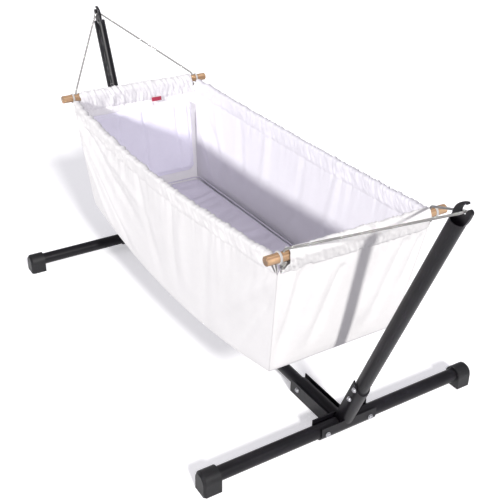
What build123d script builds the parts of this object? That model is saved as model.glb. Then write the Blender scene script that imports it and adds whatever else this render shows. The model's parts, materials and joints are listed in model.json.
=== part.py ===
"""Baby cradle: a white cotton sling basket hung between two leaning posts.

Frame: X runs along the cradle, foot end at +X and head end at -X. Y runs across
it, near side at -Y. Z is up, and the floor is Z = 0. Millimetres.
"""
from build123d import *
from math import atan2, cos, degrees, sin, tan
import os

os.makedirs("parts", exist_ok=True)

# ---- driving dimensions: stand -------------------------------------------------
TUBE_D = 31.8               # posts and crossbars, 1 1/4 inch tube
TUBE_WALL = 1.5
CROSSBAR_X = 511.5          # centre line of each crossbar
CROSSBAR_Z = 30.4           # height of the crossbar centre line
CROSSBAR_HALF = 364.6       # outer face of an end cap
CROSSBAR_INNER = 22.5       # inner end of each crossbar half
CAP_WIDTH = 44.0
CAP_LENGTH = 41.0
CAP_TOP = 51.0
CAP_END_WALL = 8.0
CAP_EDGE = 5.0              # chamfer round the cap's outer face
BEAM_Z = 21.0               # centre line of the floor beam
BEAM_TUBE_D = 28.6          # inner, telescoping beam tube
BEAM_TUBE_HALF = 446.0
SLEEVE_D = 35.0             # outer beam sleeve at each end
SLEEVE_WALL = 3.0
SLEEVE_START = 346.0
SLEEVE_END = 490.0
SHEET = 3.0                 # folded steel of the cross and post channels
BEAM_SHEET = 2.5            # folded steel of the beam channel
CROSS_CHANNEL_HALF = 74.0
CROSS_CHANNEL_TOP = 49.0
BEAM_CHANNEL_START = 334.0
BEAM_CHANNEL_HALF = 22.0
BEAM_CHANNEL_FLOOR = 0.8
BEAM_CHANNEL_TOP = 35.0
POST_BASE_X = 508.0         # where the post's axis meets the crossbar height
POST_TOP_X = 752.3
POST_TOP_Z = 633.4
POST_LOW = 12.0             # start of the post, along its own axis
FLANGE_EDGE = -13.0         # open edge of the post channel, across the post
FLANGE_TOP = 152.0          # post channel's top at its open edge
CLOSED_TOP = 125.0          # post channel's top at its closed side
CHANNEL_CUT_Z = 20.0        # lower end of the post channel
CHANNEL_WINDOW_Z = 26.0     # the cross channel's front wall is cut away above this, for the post
CHANNEL_BACK_GAP = 0.5      # between the post channel and the cross channel's back wall
BEAM_CHANNEL_TUCK = 4.0     # the beam channel ends this far short of the crossbar's centre line
FIT = 0.3                   # gap between a tube and the sheet round it
CLEAR = 0.1                 # gap between two parts that slide together

# ---- driving dimensions: hook ---------------------------------------------------
HOOK_T = 6.0
TONGUE_DEPTH = 46.0         # how far the plate goes down inside the post
SLOT_DEPTH = 12.5           # the slots in the post's end that take the plate
TONGUE_HALF = 14.0
SHOULDER_HALF = 16.0
SEAT_U = 1.0                # centre of the notch, across the post
NOTCH_V = 22.0              # centre of the notch's round bottom, above the post's end
NOTCH_R = 6.4
SEAT_CLEARANCE = 1.1        # room under the cord, so that it can rock in the notch

# ---- driving dimensions: fasteners ----------------------------------------------
BOLT_D = 6.0
BOLT_HOLE_D = 6.4
HEAD_D = 12.0
HEAD_H = 4.0
NUT_ACROSS = 11.5           # corner to corner
NUT_H = 5.0
BOLT_END = 3.0              # thread that shows past a nut
THREAD_GAP = 0.2            # between a bolt's thread and its nut
CAP_NUT_BORE = 5.0          # depth of the blind bore in a cap nut
CAP_NUT_SHOULDER = 1.0      # how far the dome stands inside the hexagon
CAP_NUT_GRIP = 4.0          # bolt length that goes into a cap nut
CROSS_BOLT_Y = 58.0
BEAM_BOLT_X = 362.0
POST_BOLTS = (98.0, 133.0)  # along the post's axis

# ---- driving dimensions: basket -------------------------------------------------
ROD_D = 20.0
ROD_X = 510.0
ROD_Z = 497.0
ROD_HALF = 220.0
ROD_CHAMFER = 1.2
HEM_HALF = 172.0            # half length of the casing on each rod
PANEL_TOP_HALF = 172.0      # half width of an end panel, just under the rod
PANEL_TOP_GAP = 0.6         # between the end panel and the casing above it
CASING_GAP = 0.4
CASING_T = 2.6
CLOTH = 3.0
BOTTOM_X = 456.0            # foot of each end panel
BOTTOM_Z = 190.0
BOTTOM_SAG_Z = 142.0        # the bottom at mid length
BOTTOM_HALF = 168.0         # half width between the side panels at the bottom's ends
CORNER_GAP = 2.0            # an end panel's foot is narrower than the bottom by this, each side
BOTTOM_SIDE_GAP = 4.0       # between the bottom and a side panel, room for the lean
EDGE_HALF = 190.0           # half width between the long top hems
EDGE_Z = 490.0
EDGE_SAG_Z = 475.0          # long top hems at mid length
EDGE_END_X = 489.0
HEM_D = 13.0
DRAWCORD_D = 4.0
DRAWCORD_END_X = 495.0
MATTRESS_TOP = 217.0         # the mattress lies flat on top, its underside fills the sag
MATTRESS_HALF_X = 446.0
MATTRESS_HALF_Y = 158.0
BUMPER_T = 12.0
BUMPER_HALF = 158.0
BUMPER_SPREAD = 11.0        # the bumper's top is wider than its foot by this, each side
BUMPER_LOW = 226.0
BUMPER_HIGH = 446.0
TAG_Y = 55.0
TAG_Z = 458.0
TAG_W = 30.0
TAG_H = 11.0
TAG_T = 0.8
CORD_D = 5.0
CORD_HOLE_Y = 180.0         # upright hole through the rod that takes the sling cord
CORD_HOLE_D = 6.4
KNOT_D = 13.0               # stopper knot on the sling cord, under the rod
CORD_RISE = 15.0            # the cord bends this far above the rod's centre line
KNOT_GAP = 0.3              # between the knot and the rod
TAIL = 9.0                  # cord that hangs out of the knot
WRAP_Y = 190.5              # where the long hems' drawcord is tied round the rod
WRAP_LENGTH = 7.0
WRAP_T = 4.0
WRAP_GAP = 0.2
SADDLE_HALF = 8.0           # half the cord's level run over the hook plate
BEND_R = 7.0                # bend of the cord over the hook and into the rod
GAP = 0.4

# ---- values that follow ----------------------------------------------------------
TUBE_R = TUBE_D / 2
CHANNEL_R = TUBE_R + FIT + SHEET
LEAN = atan2(POST_TOP_X - POST_BASE_X, POST_TOP_Z - CROSSBAR_Z)
POST_LENGTH = (POST_TOP_Z - CROSSBAR_Z) / cos(LEAN)
SEAT_V = NOTCH_V - NOTCH_R + SEAT_CLEARANCE + CORD_D / 2
SEAT_X = POST_TOP_X + SEAT_U * cos(LEAN) + SEAT_V * sin(LEAN)
SEAT_Z = POST_TOP_Z - SEAT_U * sin(LEAN) + SEAT_V * cos(LEAN)
SIDE_LEAN = atan2(EDGE_HALF - BOTTOM_HALF, EDGE_Z - BOTTOM_Z)
END_LEAN = atan2(ROD_X - BOTTOM_X, ROD_Z - BOTTOM_Z)
UP = (Align.CENTER, Align.CENTER, Align.MIN)
WIDE = 400.0                # larger than any section it cuts
OVER = 20.0                 # how far a cutting shape stands past the piece that it opens


def bar(point, direction, diameter, length):
    """Solid round bar from a point along a direction."""
    return Plane(origin=point, z_dir=direction) * Cylinder(diameter / 2, length, align=UP)


def tube(point, direction, diameter, wall, length):
    """Open round tube from a point along a direction."""
    return bar(point, direction, diameter, length) - bar(point, direction, diameter - 2 * wall, length)


def block(low, high):
    """Box between two corners."""
    size = [h - l for l, h in zip(low, high)]
    middle = [(h + l) / 2 for l, h in zip(low, high)]
    return Pos(*middle) * Box(*size)


def in_post(shape):
    """Puts a shape drawn along +Z, outward +X, on the foot post's axis."""
    return Pos(POST_BASE_X, 0, CROSSBAR_Z) * Rot(0, degrees(LEAN), 0) * shape


def post_point(u, v, y):
    """World place of a point u across the foot post, v along it and y aside."""
    x = POST_BASE_X + v * sin(LEAN) + u * cos(LEAN)
    z = CROSSBAR_Z + v * cos(LEAN) - u * sin(LEAN)
    return x, y, z


def at_head(shape):
    """The head end's twin of a piece at the foot end."""
    return mirror(shape, about=Plane.YZ)


def far(shape):
    """The far side's twin of a piece on the near side."""
    return mirror(shape, about=Plane.XZ)


def bolt(point, direction, grip):
    """Round-headed bolt. The head stands on the point and the shank runs along the direction."""
    back = tuple(-d for d in direction)
    head = bar(point, back, HEAD_D, HEAD_H)
    return bar(point, direction, BOLT_D, grip) + head


def nut(point, direction):
    """Hexagon nut with a clear bore."""
    hexagon = Plane(origin=point, z_dir=direction) * extrude(RegularPolygon(NUT_ACROSS / 2, 6), NUT_H)
    return hexagon - bar(point, direction, BOLT_D + THREAD_GAP, NUT_H)


def cap_nut(point, direction):
    """Closed nut: a hexagon with a round dome over a blind bore."""
    place = Plane(origin=point, z_dir=direction)
    hexagon = extrude(RegularPolygon(NUT_ACROSS / 2, 6), NUT_H)
    dome = Pos(0, 0, NUT_H - CAP_NUT_SHOULDER) * Sphere(NUT_ACROSS / 2 - CAP_NUT_SHOULDER)
    dome &= Pos(0, 0, NUT_H - CAP_NUT_SHOULDER / 2) * Box(WIDE, WIDE, WIDE, align=UP)
    return place * (hexagon + dome) - bar(point, direction, BOLT_D + THREAD_GAP, CAP_NUT_BORE)


# ---- stand: brackets -------------------------------------------------------------
def cross_channel_shape(radius, top):
    """Round-bottomed U, filled, along the crossbar."""
    start = (CROSSBAR_X, -CROSS_CHANNEL_HALF, CROSSBAR_Z)
    round_part = bar(start, (0, 1, 0), 2 * radius, 2 * CROSS_CHANNEL_HALF)
    low = (CROSSBAR_X - radius, -CROSS_CHANNEL_HALF, CROSSBAR_Z)
    high = (CROSSBAR_X + radius, CROSS_CHANNEL_HALF, top)
    return round_part + block(low, high)


def post_channel_shape(radius, edge):
    """Round-backed U, filled, along the foot post, closed side outward."""
    low = -TUBE_D
    high = FLANGE_TOP + TUBE_D
    round_part = Pos(0, 0, low) * Cylinder(radius, high - low, align=UP)
    flat_part = block((edge, -radius, low), (0, radius, high))
    return round_part + flat_part


def slanted_top():
    """The post channel's side view: its top falls from the open edge to the closed side."""
    slope = (FLANGE_TOP - CLOSED_TOP) / (CHANNEL_R - FLANGE_EDGE)
    outer = CHANNEL_R + OVER
    inner_corner = (FLANGE_EDGE, FLANGE_TOP)
    outer_corner = (outer, CLOSED_TOP - OVER * slope)
    outline = Polyline((FLANGE_EDGE, -TUBE_D), (outer, -TUBE_D), outer_corner, inner_corner, close=True)
    return extrude(Plane.XZ * make_face(outline), WIDE / 2, both=True)


cross_outer = cross_channel_shape(CHANNEL_R, CROSS_CHANNEL_TOP)
cross_inner = cross_channel_shape(CHANNEL_R - SHEET, CROSS_CHANNEL_TOP + OVER)
post_filled = in_post(post_channel_shape(CHANNEL_R, FLANGE_EDGE) & slanted_top())
foot_cross_channel = cross_outer - cross_inner
window = block((CROSSBAR_X, -WIDE, CHANNEL_WINDOW_Z), (CROSSBAR_X + WIDE, WIDE, WIDE))
foot_cross_channel -= post_filled & window
for side in (-1, 1):
    foot_cross_channel -= bar(
        (CROSSBAR_X - WIDE / 8, side * CROSS_BOLT_Y, CROSSBAR_Z), (1, 0, 0), BOLT_HOLE_D, WIDE / 4
    )

post_sheet = post_channel_shape(CHANNEL_R, FLANGE_EDGE)
post_sheet -= post_channel_shape(CHANNEL_R - SHEET, FLANGE_EDGE - OVER)
foot_post_channel = in_post(post_sheet & slanted_top())
back_wall_x = CROSSBAR_X - CHANNEL_R + SHEET
channel_low = (back_wall_x + CHANNEL_BACK_GAP, -WIDE, CHANNEL_CUT_Z)
foot_post_channel &= block(channel_low, (WIDE * 3, WIDE, WIDE * 2))
foot_post_channel -= foot_cross_channel
for v in POST_BOLTS:
    foot_post_channel -= bar(post_point(0, v, -WIDE / 4), (0, 1, 0), BOLT_HOLE_D, WIDE / 2)

beam_outer = block(
    (BEAM_CHANNEL_START, -BEAM_CHANNEL_HALF, BEAM_CHANNEL_FLOOR),
    (CROSSBAR_X - BEAM_CHANNEL_TUCK, BEAM_CHANNEL_HALF, BEAM_CHANNEL_TOP),
)
beam_inner = block(
    (0, BEAM_SHEET - BEAM_CHANNEL_HALF, BEAM_CHANNEL_FLOOR + BEAM_SHEET),
    (WIDE * 2, BEAM_CHANNEL_HALF - BEAM_SHEET, BEAM_CHANNEL_TOP + OVER),
)
foot_beam_channel = beam_outer - beam_inner - cross_outer
foot_beam_channel -= bar((BEAM_BOLT_X, -WIDE / 4, BEAM_Z), (0, 1, 0), BOLT_HOLE_D, WIDE / 2)

# ---- stand: tubes and caps --------------------------------------------------------
crossbar_length = CROSSBAR_HALF - CAP_END_WALL - CLEAR - CROSSBAR_INNER
crossbar_start = (CROSSBAR_X, CROSSBAR_INNER, CROSSBAR_Z)
foot_crossbar_far = tube(crossbar_start, (0, 1, 0), TUBE_D, TUBE_WALL, crossbar_length)
foot_crossbar_far -= bar(
    (CROSSBAR_X - WIDE / 8, CROSS_BOLT_Y, CROSSBAR_Z), (1, 0, 0), BOLT_HOLE_D, WIDE / 4
)

arch_r = CAP_WIDTH / 2
arch_z = CAP_TOP - arch_r
cap_inner_y = CROSSBAR_HALF - CAP_LENGTH
arch = bar((CROSSBAR_X, cap_inner_y, arch_z), (0, 1, 0), CAP_WIDTH, CAP_LENGTH)
arch &= block((0, 0, arch_z), (WIDE * 3, WIDE, WIDE))
cap_body = arch + block((CROSSBAR_X - arch_r, cap_inner_y, 0), (CROSSBAR_X + arch_r, CROSSBAR_HALF, arch_z))
outer_face = cap_body.faces().sort_by(Axis.Y)[-1]
cap_body = chamfer([e for e in outer_face.edges() if e.center().Z > CAP_EDGE], CAP_EDGE)
foot_cap_far = cap_body - bar(
    (CROSSBAR_X, cap_inner_y, CROSSBAR_Z), (0, 1, 0), TUBE_D + 2 * CLEAR, CAP_LENGTH - CAP_END_WALL
)

beam_tube = tube((-BEAM_TUBE_HALF, 0, BEAM_Z), (1, 0, 0), BEAM_TUBE_D, TUBE_WALL, 2 * BEAM_TUBE_HALF)
for x in (-BEAM_BOLT_X, BEAM_BOLT_X):
    beam_tube -= bar((x, -WIDE / 4, BEAM_Z), (0, 1, 0), BOLT_HOLE_D, WIDE / 2)
foot_beam_sleeve = tube(
    (SLEEVE_START, 0, BEAM_Z), (1, 0, 0), SLEEVE_D, SLEEVE_WALL, SLEEVE_END - SLEEVE_START
)
foot_beam_sleeve -= bar((BEAM_BOLT_X, -WIDE / 4, BEAM_Z), (0, 1, 0), BOLT_HOLE_D, WIDE / 2)

foot_post = in_post(tube((0, 0, POST_LOW), (0, 0, 1), TUBE_D, TUBE_WALL, POST_LENGTH - POST_LOW))
slot_half = HOOK_T / 2 + CLEAR
slot_low = (-WIDE, -slot_half, POST_LENGTH - SLOT_DEPTH)
foot_post -= in_post(block(slot_low, (WIDE, slot_half, POST_LENGTH + OVER)))
for v in POST_BOLTS:
    foot_post -= bar(post_point(0, v, -WIDE / 4), (0, 1, 0), BOLT_HOLE_D, WIDE / 2)


# ---- stand: hook plate --------------------------------------------------------------
def hook_outline():
    """Side view of the plate: tongue, outer stub, round notch and the horn over it."""
    notch_right = (SEAT_U + NOTCH_R, NOTCH_V)
    notch_left = (SEAT_U - NOTCH_R, NOTCH_V)
    stub_inner = (8.2, 32.0)
    stub_outer = (18.4, 28.5)
    horn_under = (1.6, 38.0)
    horn_top = (-0.6, 42.0)
    horn_root = (-17.4, 13.0)
    return [
        Line((-TONGUE_HALF, -TONGUE_DEPTH), (TONGUE_HALF, -TONGUE_DEPTH)),
        Line((TONGUE_HALF, -TONGUE_DEPTH), (TONGUE_HALF, -SLOT_DEPTH)),
        Line((TONGUE_HALF, -SLOT_DEPTH), (SHOULDER_HALF, -SLOT_DEPTH)),
        Line((SHOULDER_HALF, -SLOT_DEPTH), (SHOULDER_HALF, 0)),
        ThreePointArc((SHOULDER_HALF, 0), (18.6, 13.0), stub_outer),
        ThreePointArc(stub_outer, (14.4, 35.4), stub_inner),
        Line(stub_inner, notch_right),
        ThreePointArc(notch_right, (SEAT_U, NOTCH_V - NOTCH_R), notch_left),
        ThreePointArc(notch_left, (-4.0, 32.0), horn_under),
        ThreePointArc(horn_under, (2.3, 41.0), horn_top),
        ThreePointArc(horn_top, (-12.2, 31.0), horn_root),
        Line(horn_root, (-SHOULDER_HALF, 0)),
        Line((-SHOULDER_HALF, 0), (-SHOULDER_HALF, -SLOT_DEPTH)),
        Line((-SHOULDER_HALF, -SLOT_DEPTH), (-TONGUE_HALF, -SLOT_DEPTH)),
        Line((-TONGUE_HALF, -SLOT_DEPTH), (-TONGUE_HALF, -TONGUE_DEPTH)),
    ]


hook_face = Plane.XZ * make_face(hook_outline())
foot_hook_plate = in_post(Pos(0, 0, POST_LENGTH) * extrude(hook_face, HOOK_T / 2, both=True))

# ---- stand: fasteners ----------------------------------------------------------------
channel_out = CROSSBAR_X + CHANNEL_R
channel_in = CROSSBAR_X - CHANNEL_R
cross_bolts = []
cross_nuts = []
for side in (-1, 1):
    y = side * CROSS_BOLT_Y
    cross_bolts.append(bolt((channel_out, y, CROSSBAR_Z), (-1, 0, 0), 2 * CHANNEL_R + CAP_NUT_GRIP))
    cross_nuts.append(cap_nut((channel_in, y, CROSSBAR_Z), (-1, 0, 0)))
post_bolts = []
post_nuts = []
for v in POST_BOLTS:
    grip = 2 * CHANNEL_R + NUT_H + BOLT_END
    post_bolts.append(bolt(post_point(0, v, -CHANNEL_R), (0, 1, 0), grip))
    post_nuts.append(nut(post_point(0, v, CHANNEL_R), (0, 1, 0)))
foot_beam_bolt = bolt(
    (BEAM_BOLT_X, -BEAM_CHANNEL_HALF, BEAM_Z), (0, 1, 0), 2 * BEAM_CHANNEL_HALF + NUT_H + BOLT_END
)
foot_beam_nut = nut((BEAM_BOLT_X, BEAM_CHANNEL_HALF, BEAM_Z), (0, 1, 0))

# ---- cradle: rods and end panels -------------------------------------------------------
foot_rod = bar((ROD_X, -ROD_HALF, ROD_Z), (0, 1, 0), ROD_D, 2 * ROD_HALF)
foot_rod = chamfer([e for e in foot_rod.edges() if e.geom_type == GeomType.CIRCLE], ROD_CHAMFER)
for y in (-CORD_HOLE_Y, CORD_HOLE_Y):
    foot_rod -= bar((ROD_X, y, ROD_Z - OVER), (0, 0, 1), CORD_HOLE_D, 2 * OVER)
casing_d = ROD_D + 2 * (CASING_GAP + CASING_T)
foot_rod_casing = tube((ROD_X, -HEM_HALF, ROD_Z), (0, 1, 0), casing_d, CASING_T, 2 * HEM_HALF)


def end_slab(inner, thickness, low_z, high_z, low_half, high_half):
    """Leaning slab at the foot end, inner is how far it stands inside the panel's middle plane."""
    lean = 1 / cos(END_LEAN)
    low = (low_z - BOTTOM_Z) * lean
    high = (high_z - BOTTOM_Z) * lean
    outline = Polyline((-low_half, low), (low_half, low), (high_half, high), (-high_half, high), close=True)
    slab = Pos(-inner, 0, 0) * extrude(Plane.YZ * make_face(outline), thickness / 2, both=True)
    return Pos(BOTTOM_X, 0, BOTTOM_Z) * Rot(0, degrees(END_LEAN), 0) * slab


casing_bottom_z = ROD_Z - casing_d / 2 * cos(END_LEAN)
panel_top_z = casing_bottom_z - PANEL_TOP_GAP
foot_panel = end_slab(0, CLOTH, BOTTOM_Z, panel_top_z, BOTTOM_HALF - CORNER_GAP, PANEL_TOP_HALF)
bumper_in = CLOTH / 2 + GAP + BUMPER_T / 2
bumper_top_half = BUMPER_HALF + BUMPER_SPREAD
head_bumper = at_head(end_slab(bumper_in, BUMPER_T, BUMPER_LOW, BUMPER_HIGH, BUMPER_HALF, bumper_top_half))
tag_in = CLOTH / 2 + TAG_T / 2
tag = end_slab(tag_in, TAG_T, TAG_Z - TAG_H / 2, TAG_Z + TAG_H / 2, TAG_W / 2, TAG_W / 2)
head_tag = Pos(0, TAG_Y, 0) * at_head(tag)


# ---- cradle: side and bottom panels -----------------------------------------------------
def on_side(shape):
    """Leans a shape drawn upright at the near bottom edge out to the near top edge."""
    return Pos(0, -BOTTOM_HALF, BOTTOM_Z) * Rot(degrees(SIDE_LEAN), 0, 0) * shape


def end_inner_x(z):
    """Where the end panel's inner face is at a height, with a gap to it."""
    return BOTTOM_X + (z - BOTTOM_Z) * tan(END_LEAN) - CLOTH / 2 / cos(END_LEAN) - GAP


panel_top = EDGE_Z - HEM_D / 2 - GAP - BOTTOM_Z
panel_sag = EDGE_SAG_Z - HEM_D / 2 - GAP - BOTTOM_Z
top_x = EDGE_END_X
low_x = end_inner_x(BOTTOM_Z)
side_face = make_face(
    [
        Line((low_x, 0), (top_x, panel_top)),
        ThreePointArc((top_x, panel_top), (0, panel_sag), (-top_x, panel_top)),
        Line((-top_x, panel_top), (-low_x, 0)),
        ThreePointArc((-low_x, 0), (0, BOTTOM_SAG_Z - BOTTOM_Z), (low_x, 0)),
    ]
)
near_side_panel = on_side(extrude(Plane.XZ * side_face, CLOTH / 2, both=True))


sag = BOTTOM_Z - BOTTOM_SAG_Z
sag_radius = (low_x**2 + sag**2) / (2 * sag)


def above_sag(half_x, half_y, low, high_z):
    """What fills the sag of the basket's bottom, from low above its underside up to high_z."""
    filling = bar((0, -half_y, BOTTOM_SAG_Z + sag_radius), (0, 1, 0), 2 * (sag_radius - low), 2 * half_y)
    return filling & block((-half_x, -half_y, 0), (half_x, half_y, high_z))


bottom_half = BOTTOM_HALF - CLOTH / 2 - BOTTOM_SIDE_GAP
bottom_panel = above_sag(low_x - GAP, bottom_half, 0, WIDE) - above_sag(low_x, BOTTOM_HALF, CLOTH, WIDE)
mattress = above_sag(MATTRESS_HALF_X, MATTRESS_HALF_Y, CLOTH + GAP, MATTRESS_TOP)


def edge_arc(half_x):
    """Sagging line of the near top hem, out to half_x, in the side panel's own upright plane."""
    top = EDGE_Z - BOTTOM_Z
    edge_sag = EDGE_Z - EDGE_SAG_Z
    radius = (EDGE_END_X**2 + edge_sag**2) / (2 * edge_sag)
    rise = radius - (radius**2 - half_x**2) ** 0.5
    low = top - edge_sag
    return ThreePointArc((-half_x, 0, low + rise), (0, 0, low), (half_x, 0, low + rise))


def swept_arc(path, diameter):
    """Round bar along an arc."""
    return sweep(Plane(origin=path @ 0, z_dir=path % 0) * Circle(diameter / 2), path)


near_drawcord = on_side(swept_arc(edge_arc(DRAWCORD_END_X), DRAWCORD_D))
hem_bar = swept_arc(edge_arc(EDGE_END_X), HEM_D)
hem_bore = swept_arc(edge_arc(DRAWCORD_END_X), DRAWCORD_D + GAP)
near_top_hem = on_side(hem_bar - hem_bore)

# ---- cradle: sling cords ------------------------------------------------------------------
wrap_d = ROD_D + 2 * (WRAP_GAP + WRAP_T)
foot_wrap_far = tube((ROD_X, WRAP_Y - WRAP_LENGTH / 2, ROD_Z), (0, 1, 0), wrap_d, WRAP_T, WRAP_LENGTH)
knot_z = ROD_Z - ROD_D / 2 - KNOT_GAP - KNOT_D / 2
tail_z = knot_z - KNOT_D / 2 - TAIL
sling_points = [
    (ROD_X, -CORD_HOLE_Y, tail_z),
    (ROD_X, -CORD_HOLE_Y, ROD_Z + CORD_RISE),
    (SEAT_X, -SADDLE_HALF, SEAT_Z),
    (SEAT_X, SADDLE_HALF, SEAT_Z),
    (ROD_X, CORD_HOLE_Y, ROD_Z + CORD_RISE),
    (ROD_X, CORD_HOLE_Y, tail_z),
]
sling_path = FilletPolyline(*sling_points, radius=BEND_R)
foot_sling_cord = sweep(Plane(origin=sling_path @ 0, z_dir=sling_path % 0) * Circle(CORD_D / 2), sling_path)
foot_knot_far = Pos(ROD_X, CORD_HOLE_Y, knot_z) * Sphere(KNOT_D / 2)
foot_knot_far -= bar((ROD_X, CORD_HOLE_Y, knot_z - KNOT_D), (0, 0, 1), CORD_D + GAP, 2 * KNOT_D)

nodes = {
    "foot_cross_channel": foot_cross_channel,
    "foot_post_channel": foot_post_channel,
    "foot_beam_channel": foot_beam_channel,
    "foot_crossbar_near": far(foot_crossbar_far),
    "foot_crossbar_far": foot_crossbar_far,
    "foot_cap_near": far(foot_cap_far),
    "foot_cap_far": foot_cap_far,
    "foot_beam_sleeve": foot_beam_sleeve,
    "foot_post": foot_post,
    "foot_hook_plate": foot_hook_plate,
    "foot_crossbar_bolts": Compound(children=cross_bolts),
    "foot_crossbar_nuts": Compound(children=cross_nuts),
    "foot_post_bolts": Compound(children=post_bolts),
    "foot_post_nuts": Compound(children=post_nuts),
    "foot_beam_bolt": foot_beam_bolt,
    "foot_beam_nut": foot_beam_nut,
    "foot_rod": foot_rod,
    "foot_rod_casing": foot_rod_casing,
    "foot_panel": foot_panel,
    "foot_wrap_near": far(foot_wrap_far),
    "foot_wrap_far": foot_wrap_far,
    "foot_knot_near": far(foot_knot_far),
    "foot_knot_far": foot_knot_far,
    "foot_sling_cord": foot_sling_cord,
}
for name in list(nodes):
    nodes[name.replace("foot_", "head_")] = at_head(nodes[name])
nodes.update(
    {
        "beam_tube": beam_tube,
        "near_side_panel": near_side_panel,
        "far_side_panel": far(near_side_panel),
        "bottom_panel": bottom_panel,
        "near_top_hem": near_top_hem,
        "far_top_hem": far(near_top_hem),
        "near_drawcord": near_drawcord,
        "far_drawcord": far(near_drawcord),
        "mattress": mattress,
        "head_bumper": head_bumper,
        "head_tag": head_tag,
    }
)
for name, shape in nodes.items():
    shape.label = name
    export_step(shape, f"parts/{name}.step")

print("nodes", len(nodes))
print("swing axis", round(SEAT_X, 2), round(SEAT_Z, 2))
print("sling cord", round(sling_path.length, 1))
print("sling points", [tuple(round(c, 2) for c in p) for p in sling_points], "bend", BEND_R)
print("knot height", round(knot_z, 2))
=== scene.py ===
"""Baby cradle: a white cotton sling basket on wooden rods, hung by cords from two leaning steel posts.

X runs along the cradle with the foot end at +X, Y runs across it with the near side at -Y, and the
floor is Z = 0. Everything is in metres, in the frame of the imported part.
"""
import json
import logging
from collections.abc import Callable, Iterable
from dataclasses import dataclass, field
from enum import Enum
from math import acos, atan2, cos, exp, hypot, pi, radians, sin, sqrt

import bmesh
import bpy
from mathutils import Matrix, Vector, noise

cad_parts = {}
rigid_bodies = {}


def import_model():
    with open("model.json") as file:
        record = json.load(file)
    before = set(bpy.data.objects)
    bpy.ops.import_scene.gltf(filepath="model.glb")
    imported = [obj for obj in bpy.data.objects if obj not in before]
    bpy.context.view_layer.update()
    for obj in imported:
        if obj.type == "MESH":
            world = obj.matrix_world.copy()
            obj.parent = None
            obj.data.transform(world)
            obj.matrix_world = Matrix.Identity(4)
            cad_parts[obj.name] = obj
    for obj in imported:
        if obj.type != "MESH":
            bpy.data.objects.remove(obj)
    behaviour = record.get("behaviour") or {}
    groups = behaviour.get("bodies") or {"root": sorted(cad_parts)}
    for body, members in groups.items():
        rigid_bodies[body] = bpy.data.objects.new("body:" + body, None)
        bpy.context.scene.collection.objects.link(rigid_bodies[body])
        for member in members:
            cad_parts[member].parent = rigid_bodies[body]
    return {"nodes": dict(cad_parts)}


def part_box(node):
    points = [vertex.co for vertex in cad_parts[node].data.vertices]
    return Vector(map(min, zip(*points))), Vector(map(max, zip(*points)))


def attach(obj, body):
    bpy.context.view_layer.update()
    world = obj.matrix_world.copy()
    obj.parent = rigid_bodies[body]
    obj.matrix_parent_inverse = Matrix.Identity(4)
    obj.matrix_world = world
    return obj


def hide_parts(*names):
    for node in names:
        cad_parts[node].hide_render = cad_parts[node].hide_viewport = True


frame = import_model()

log = logging.getLogger("cradle")
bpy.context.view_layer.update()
UP = Vector((0, 0, 1))
ACROSS = Vector((0, 1, 0))
TOUCHING = 1e-6      # points nearer than this are one point
STRANDS = 4          # strands that wind each way round a braided cord
FILL_FRAMES = 20     # frames that a pad takes to fill

Triple = tuple[float, float, float]
Socket = bpy.types.NodeSocket
Material = bpy.types.Material
Piece = bpy.types.Object
Draft = bmesh.types.BMesh


class End(Enum):
    """The two ends of the cradle, with the sign of X at each."""

    FOOT = 1
    HEAD = -1

    @property
    def label(self) -> str:
        """Name used in pieces and nodes."""
        return self.name.lower()


class Side(Enum):
    """The two long sides, with the sign of Y at each."""

    NEAR = -1
    FAR = 1

    @property
    def label(self) -> str:
        """Name used in pieces and nodes."""
        return self.name.lower()


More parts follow.
